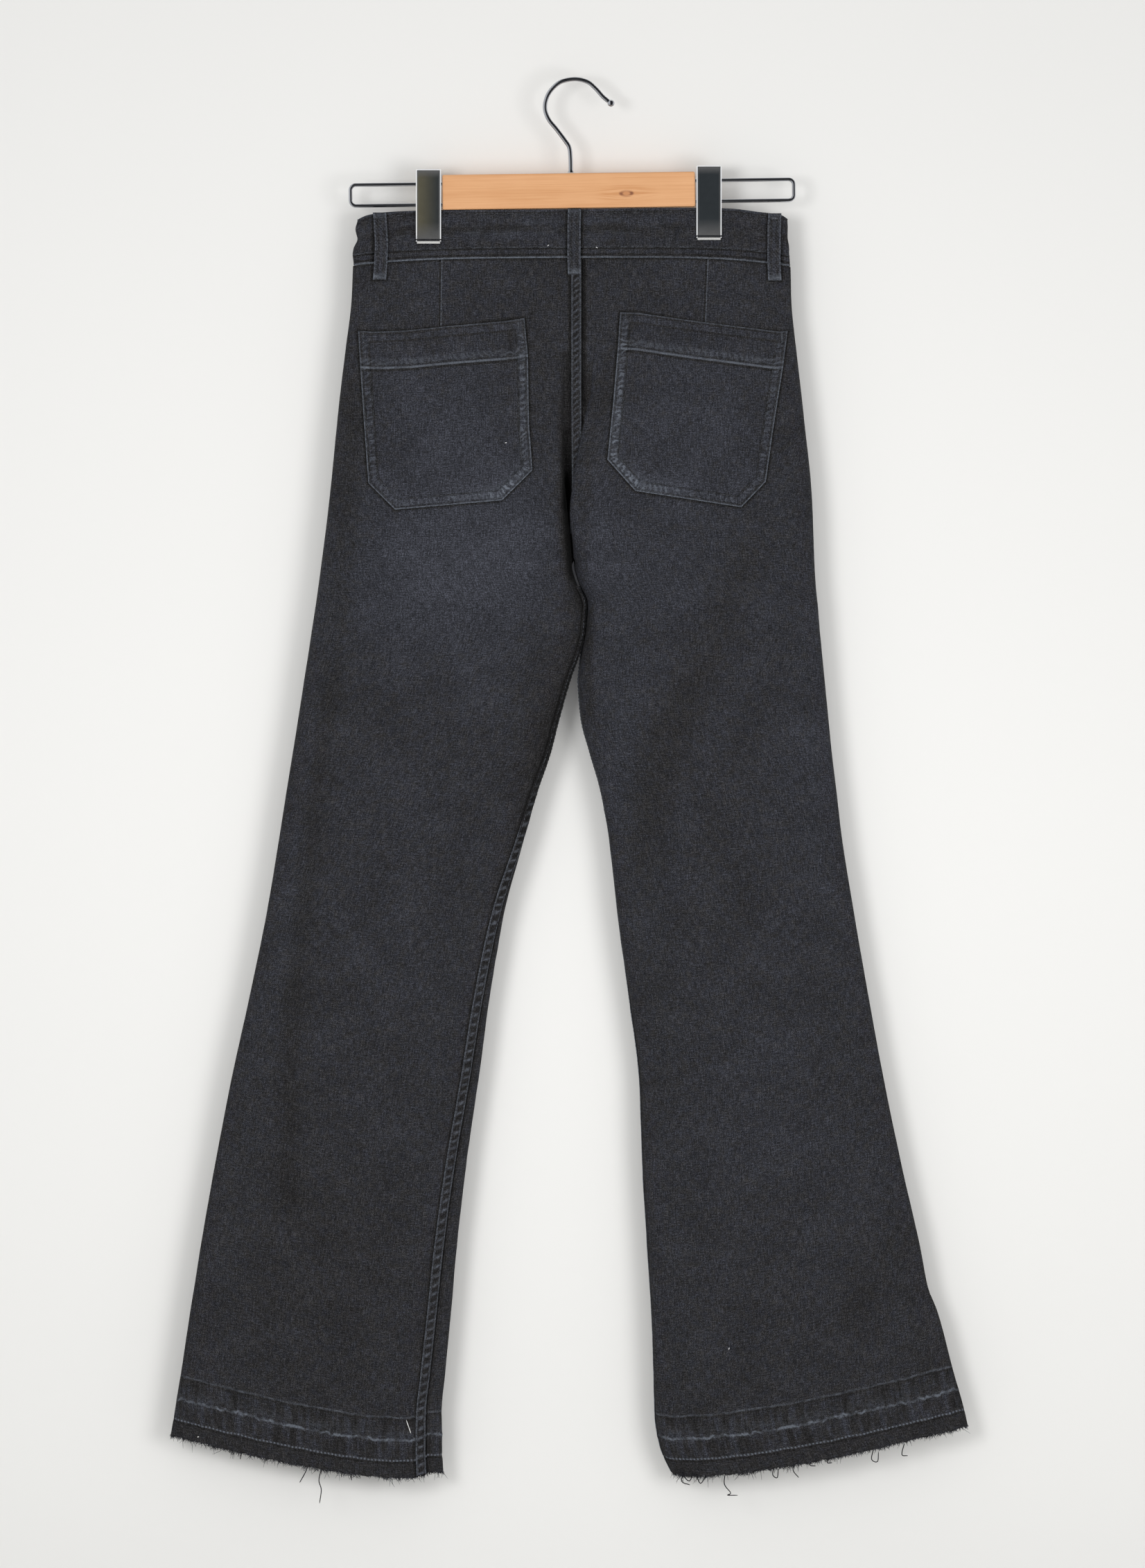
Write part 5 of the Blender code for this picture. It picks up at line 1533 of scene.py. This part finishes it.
hangerForm = {
    "tilt": math.radians(0.75),
    "barCentre": (-5.0, -94.4),
    "wireNear": 108.8,
    "wireFar": {"left": 187.6, "right": 193.4},
    "wireHeights": (7.6, -10.4),
    "wireBend": 4.5,
    "wireRadius": 1.6,
    "hookRadius": 1.9,
    "ballRadius": 3.1,
    "hookRoute": [(-3.3, -78.6), (-3.5, -66.0), (-4.6, -57.0), (-8.6, -50.6), (-15.6, -41.3), (-22.3, -32.9),
                  (-25.4, -23.7), (-24.0, -14.4), (-19.6, -6.9), (-11.8, -0.6), (0.0, 1.8), (10.6, -0.4),
                  (17.7, -6.0), (24.4, -13.4), (30.0, -18.0)],
}
# one jaw from its top to its lip: height, depth of the plate, reach of its flanges
jawProfile = [
    (-74.4, 6.5, 4.9), (-75.3, 7.3, 5.7), (-81.9, 7.4, 5.8), (-103.0, 7.3, 5.7), (-107.5, 7.0, 3.2),
    (-120.0, 6.2, 2.9), (-133.6, 5.3, 2.1), (-134.2, 5.3, 2.1), (-135.3, 6.0, 2.4), (-135.6, 6.4, 2.6),
    (-136.4, 6.3, 2.5), (-138.2, 5.0, 1.9), (-138.5, 4.6, 1.6),
]
jawForm = {"width": 21.6, "metal": 1.0, "chamfer": (0.95, 0.8), "crown": 0.28}


def chromeMaterial(name, rim, mottle, plateReflections=None):
    # mirror-like metal with small dents and smudges; the plates carry a painted reflection, a tint that
    # changes from pale olive-gold to dark blue-grey across the left jaw
    material, tree = startMaterial(name)
    where = objectPlace(tree)
    smudge, cloud = noiseOf(where, 260.0, 3.0, 0.65), noiseOf(where, 60.0, 2.0, 0.6)
    if plateReflections:
        plate = mixColour(ramped(axesOf(where)[0], 0.0, 1.0, -0.139, -0.113), *plateReflections)
        rim = mixColour(attribute(tree, "plate"), rim, plate)
    share = 0.6 * mottle * smudge + 0.6 * mottle * cloud
    tinted = mixColour(1.0, rim, mixColour(share, rgb(1, 1, 1), rgb(1.5, 1.5, 1.5)), "MULTIPLY")
    return dress(material, {
        "Base Color": tinted, "Roughness": ramped(smudge, 0.05, 0.05 + 0.25 * mottle, 0.35, 0.7),
        "Normal": bumped(smudge, 0.35 * mottle, 0.25), "Metallic": 1.0})


wireChrome = chromeMaterial("wireChrome", rgb(0.46, 0.47, 0.50), 0.1)
# painted reflection on the clips' plates: pale olive-gold on the left of the left jaw, dark blue-grey
# elsewhere
clipChrome = chromeMaterial("clipChrome", rgb(0.90, 0.90, 0.91), 0.5,
                            (rgb(0.88, 0.81, 0.55), rgb(0.24, 0.28, 0.31)))


def hookPiece():
    # a round wire along the route, a collar where it leaves the bar, and a ball at its tip
    form = hangerForm
    path = smoothPath(form["hookRoute"], 150)
    ahead = unit(path[-1] - path[-2])
    places = np.linspace(-0.85, 0.99, 12)
    middle = path[-1] + 1.6 * ahead
    tip = middle + form["ballRadius"] * places[:, None] * ahead
    kept = path[((tip[0] - path) @ ahead > 0.4) | (path[:, 0] < 20)]
    radii = form["hookRadius"] * (1 + 0.45 * bump(np.maximum(kept[:, 1] + 78.2, 0), 0.9) * (kept[:, 0] < 0))
    radii = np.concatenate([radii, form["ballRadius"] * np.sqrt(1 - places**2)])
    centres = np.concatenate([kept, tip])
    centres = np.stack([centres[:, 0], 0 * centres[:, 0], centres[:, 1]], -1)
    points = sweptTube(centres, radii, 24)
    return meshObject("hookWire", points, tubeFaces(len(centres), 24), wireChrome)


def wirePiece(side):
    # a loop from the bar's end: out, round two bends and back, turned with the bar
    form, way = hangerForm, sides[side]
    high, low = form["wireHeights"]
    far, bend = form["wireFar"][side], form["wireBend"]
    turn = np.linspace(0, math.pi / 2, 9)
    x = np.concatenate([np.linspace(form["wireNear"], far - bend, 12)[:-1], far - bend + bend * np.sin(turn),
                        far - bend + bend * np.cos(turn), np.linspace(far - bend, form["wireNear"], 12)[1:]])
    z = np.concatenate([np.full(11, high), high - bend + bend * np.cos(turn),
                        low + bend - bend * np.sin(turn), np.full(11, low)])
    x = way * x
    lean = form["tilt"]
    centres = np.stack([form["barCentre"][0] + x * math.cos(lean) - z * math.sin(lean), 0 * x,
                        form["barCentre"][1] + x * math.sin(lean) + z * math.cos(lean)], -1)
    points = sweptTube(centres, form["wireRadius"], 20)
    return meshObject("wireLoop" + side.capitalize(), points, tubeFaces(len(centres), 20), wireChrome)


def jawPiece(side, part):
    # a pressed plate with chamfered sides and flanges: each row is the same section at its own depth
    way, place = (-1.0 if part == "outer" else 1.0), bandForm["clips"][side]
    half, metal, crown = jawForm["width"] / 2, jawForm["metal"], jawForm["crown"]
    wide, deep = jawForm["chamfer"]
    outer, inner = [], []
    for height, plate, flange in jawProfile:
        x = np.linspace(-half + wide, half - wide, 13)
        y = plate + crown * (1 - (x / (half - wide)) ** 2)
        x = np.concatenate([[-half, -half], x, [half, half]])
        y = np.concatenate([[plate - flange, plate - deep], y, [plate - deep, plate - flange]])
        z = np.full(x.shape, height + math.sin(hangerForm["tilt"]) * place)
        outer.append(np.stack([place + x, way * y, z], -1))
        shrink = (half - metal) / half
        outerY = np.minimum(y - metal, plate + crown - metal)
        outerY[[0, -1]] = plate - flange
        inner.append(np.stack([place + x * shrink, way * outerY, z], -1))
    outer, inner = np.array(outer), np.array(inner)
    name = "clip" + side.capitalize() + part.capitalize()
    tall = outer[..., 2] - math.sin(hangerForm["tilt"]) * place
    # the plate's flat face, where its painted reflection tint lies
    plate = smoothStep((-75.5 - tall) / 1.5) * smoothStep((tall + 133.8) / 1.0)
    plate = plate * smoothStep((half - wide + 0.2 - np.abs(outer[..., 0] - place)) / 0.6)
    piece = wall(name, outer, inner, clipChrome, outer[..., [0, 2]], {"plate": plate})
    piece.data.set_sharp_from_angle(angle=math.radians(12))
    return piece


metalPieces = {"hook": hookPiece()}
for side in sides:
    metalPieces["wire_" + side] = wirePiece(side)
    for part in ("outer", "inner"):
        metalPieces["clip_" + side + "_" + part] = jawPiece(side, part)
for node, piece in metalPieces.items():
    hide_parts(node)
print("hook, wires and clips made")


# the knot's place, its flame's and its ring's half width and half height, in metres, and the wood's colours
pineLook = {
    "knot": (0.0445, -0.0968),
    "flame": (0.034, 0.009),
    "ring": (0.0058, 0.0030),
    "pale": rgb(0.70, 0.388, 0.200),
    "dark": rgb(0.565, 0.275, 0.120),
    "heart": rgb(0.46, 0.19, 0.085),
    "rim": rgb(0.20, 0.075, 0.04),
}


def pineMaterial():
    # pine: long grain lines that spread round one knot, whose ring and heart are brown
    material, tree = startMaterial("pineWood")
    where = objectPlace(tree)
    x, y, z = axesOf(where)
    right = x - pineLook["knot"][0]
    up = (z - pineLook["knot"][1]) - math.sin(hangerForm["tilt"]) * right

    def reach(wide, tall):
        # distance from the knot's heart, as a share of an oval's half width and half height
        share, rise = 1 / wide * right, 1 / tall * up
        return combine("SQRT", share * share + rise * rise)

    near, ring = ramped(reach(*pineLook["flame"]), 1.0, 0.0), reach(*pineLook["ring"])
    spot = addNode(tree, "ShaderNodeCombineXYZ", {0: right, 1: y, 2: up * (1.0 - 0.72 * near)})
    fine = noiseOf(spot, 1.0, 3.0, 0.65, (16.0, 60.0, 900.0))
    wide = noiseOf(spot, 1.0, 2.0, 0.5, (6.0, 30.0, 150.0), (2.0, 0, 0))
    cloud = noiseOf(where, 26.0, 2.0, 0.5)
    share = (1.5 * (fine - 0.5) + 0.42 + 0.8 * (wide - 0.5) + 0.5 * (cloud - 0.5)
             + 1.2 * (near * ramped(fine, 0.0, 1.0, 0.4, 0.62)))
    colour = mixColour(share, pineLook["pale"], pineLook["dark"])
    colour = mixColour(ramped(ring, 0.4, 0.0, 0.5, 1.3), colour, pineLook["heart"])
    edge = lineMask(ring, 0.8, 0.05, 0.4) * ramped(fine, 0.15, 0.9, 0.38, 0.6)
    return dress(material, {
        "Base Color": mixColour(edge, colour, pineLook["rim"]), "Roughness": ramped(fine, 0.45, 0.62),
        "Normal": bumped(fine, 0.25, 0.1), "Specular IOR Level": 0.3})


def brassMaterial():
    # brass with darker, rougher stains
    material, tree = startMaterial("agedBrass")
    stain = noiseOf(objectPlace(tree), 420.0, 3.0, 0.6)
    return dress(material, {"Base Color": mixColour(stain, rgb(0.50, 0.31, 0.14), rgb(0.24, 0.15, 0.08)),
                            "Roughness": ramped(stain, 0.25, 0.5, 0.3, 0.7), "Metallic": 1.0})


for node, material in (("bar", pineMaterial()), ("waist_button", brassMaterial())):
    bpy.data.objects[node].data.materials[0] = material
print("bar and button finished")


# Lint and a short end of white thread, seen on the jeans (x, z, length, lean in degrees)

lintPlaces = [(-22.6, -141.6, 1.6, 40), (19.0, -143.4, 1.7, -30), (-58.9, -311.8, 1.8, 20),
              (132.7, -1088.9, 1.8, 70), (-323.1, -1165.0, 1.5, 10), (-142.5, -1156.0, 12.6, -71)]


def frontmost(x, z):
    # the depth of whatever lies nearest the back's viewer at a place, from the made grids
    depth = 0.0
    for grid in [panelGrids[side, "back"]["points"] for side in sides] + pocketGrids + [bandHigh]:
        near = np.hypot(grid[..., 0] - x, grid[..., 2] - z) < 2.6
        if near.any():
            depth = min(depth, float(grid[..., 1][near].min()))
    return depth


def lintPiece():
    # short tubes that taper to both ends; specks are bowed and the thread's end is straight
    tubes = []
    for x, z, length, lean in lintPlaces:
        t = np.linspace(-0.5, 0.5, 12)
        run = length * t
        bow = 0.12 * length * (1 - 4 * t**2) * (length < 5)
        turn = math.radians(lean)
        depth = np.full(12, frontmost(x, z) - 0.35)
        centres = np.stack([x + run * math.cos(turn) - bow * math.sin(turn), depth,
                            z + run * math.sin(turn) + bow * math.cos(turn)], -1)
        tubes.append(sweptTube(centres, 0.36 * np.sqrt(1.02 - 4 * t**2), 6))
    points = np.concatenate(tubes)
    piece = meshObject("lint", points, manyOf(points, tubeFaces(12, 6), len(tubes)), whiteThread)


whiteThread = threadMaterial("whiteThread", rgb(0.55, 0.55, 0.55), rgb(0.85, 0.85, 0.84))
lintPiece()
print("lint made")


# Camera, light and backdrop

view = {"place": (-1.785, -9000.0, -604.2), "lens": 240.36, "sensor": 36.0}
camera = placed("camera", bpy.data.cameras.new("camera"))
camera.location = [v * mm for v in view["place"]]
camera.rotation_euler = (math.pi / 2, 0, 0)
camera.data.lens, camera.data.sensor_width, camera.data.sensor_fit = view["lens"], view["sensor"], "AUTO"
camera.data.clip_end = 50
bpy.context.scene.camera = camera
bpy.context.scene.view_settings.view_transform = "Standard"

# the wall, the place of its painted pool of light, and the lamps, in metres
studio = {
    "wall": (0.845, 0.841, 0.826),
    "wallShade": (0.765, 0.985),
    "wallPaintedLight": {"place": (0.03, 0.0, -0.70), "scale": 0.75},
    "wallPlace": 0.027,
    "key": {"place": (-1.7, -3.4, -0.1), "aim": (0.0, 0.0, -0.6), "size": 1.4, "power": 46.0},
    "fill": {"place": (2.0, -3.2, -0.8), "aim": (0.0, 0.0, -0.7), "size": 1.8, "power": 43.0},
    "back": {"place": (0.6, 2.6, 0.6), "aim": (0.0, 0.0, -0.6), "size": 2.0, "power": 45.0},
}


def stageMesh(name, corners, material):
    mesh = bpy.data.meshes.new(name)
    mesh.from_pydata(corners, [], [(0, 1, 2, 3)])
    mesh.materials.append(material)
    thing = placed(name, mesh)


def paintMaterial(name, oneSided):
    # matt wall paint with a painted pool of light, brighter round one place and darker away from it, and a
    # faint unevenness; its back is clear and lets light through to the jeans' front
    material, tree = startMaterial(name)
    where = objectPlace(tree)
    (x, _, z), scale = studio["wallPaintedLight"]["place"], studio["wallPaintedLight"]["scale"]
    spread = addNode(tree, "ShaderNodeMapping", {
        "Vector": where, "Location": (-x * scale, 0, -z * scale), "Scale": (scale, 0.0, scale)})
    gradient = addNode(tree, "ShaderNodeTexGradient", {0: spread}, gradient_type="SPHERICAL")
    share = 0.12 * noiseOf(where, 1.4, 3.0, 0.5) + (gradient - 0.06)
    low, high = [rgb(*[v * part for v in studio["wall"]]) for part in studio["wallShade"]]
    dress(material, {"Base Color": mixColour(share, low, high), "Roughness": 0.95, "Specular IOR Level": 0.1})
    if oneSided:
        passed = combine("MAXIMUM", *(addNode(tree, "ShaderNodeLightPath", output="Is " + ray + " Ray")
                                      for ray in ("Shadow", "Diffuse")))
        passed = combine("MAXIMUM", addNode(tree, "ShaderNodeNewGeometry", output="Backfacing"), passed)
        painted = Tone(tree, tree.nodes["Principled BSDF"].outputs[0])
        clear = addNode(tree, "ShaderNodeBsdfTransparent")
        join(addNode(tree, "ShaderNodeMixShader", {0: passed, 1: painted, 2: clear}),
             tree.nodes["Material Output"].inputs["Surface"])
    return material


far, near, top, bottom = 4.0, -0.8, 3.0, -1.32
wallY = studio["wallPlace"]
stageMesh("backdrop", [(-far, wallY, bottom), (far, wallY, bottom), (far, wallY, top), (-far, wallY, top)],
          paintMaterial("backdropPaint", True))
stageMesh("floor", [(-far, near, bottom), (far, near, bottom), (far, far, bottom), (-far, far, bottom)],
          paintMaterial("floorPaint", False))

for name in ("key", "fill", "back"):
    look = studio[name]
    lamp = bpy.data.lights.new(name, "AREA")
    lamp.shape, lamp.size, lamp.energy = "DISK", look["size"], look["power"]
    light = placed(name, lamp)
    light.visible_glossy = False
    light.location = look["place"]
    x, y, z = (end - start for start, end in zip(look["place"], look["aim"]))
    light.rotation_euler = (math.atan2(math.hypot(x, y), -z), 0, math.atan2(-x, y))

# the room: brightest behind the lens for matt cloth; metal mirrors it dark with pale sides, floor and top
world = bpy.data.worlds.new("room")
world.use_nodes = True
bpy.context.scene.world = world
tree = world.node_tree
x, y, z = axesOf(addNode(tree, "ShaderNodeTexCoord", output="Generated"))
matt = mixColour(ramped(y, 1.0, 0.0, -1.0, -0.5), rgb(0.56, 0.56, 0.555), rgb(0.84, 0.84, 0.835))
beside = combine("MAXIMUM", ramped(x, 1.0, 0.0, -0.6, -0.22), ramped(x, 0.0, 1.0, 0.82, 0.95))
aboveBelow = combine("MAXIMUM", ramped(z, 1.0, 0.0, -0.96, -0.84), ramped(z, 0.0, 1.0, 0.965, 0.995))
shadow = mixColour(ramped(y, 1.0, 0.0, -0.992, -0.965), rgb(0.022, 0.023, 0.025), rgb(0.10, 0.10, 0.10))
mirrored = mixColour(combine("MAXIMUM", beside, aboveBelow), shadow, rgb(0.78, 0.79, 0.80))
glossy = addNode(tree, "ShaderNodeLightPath", output="Is Glossy Ray")
join(mixColour(glossy, matt, mirrored), tree.nodes["Background"].inputs["Color"])
print("camera, light and backdrop ready")
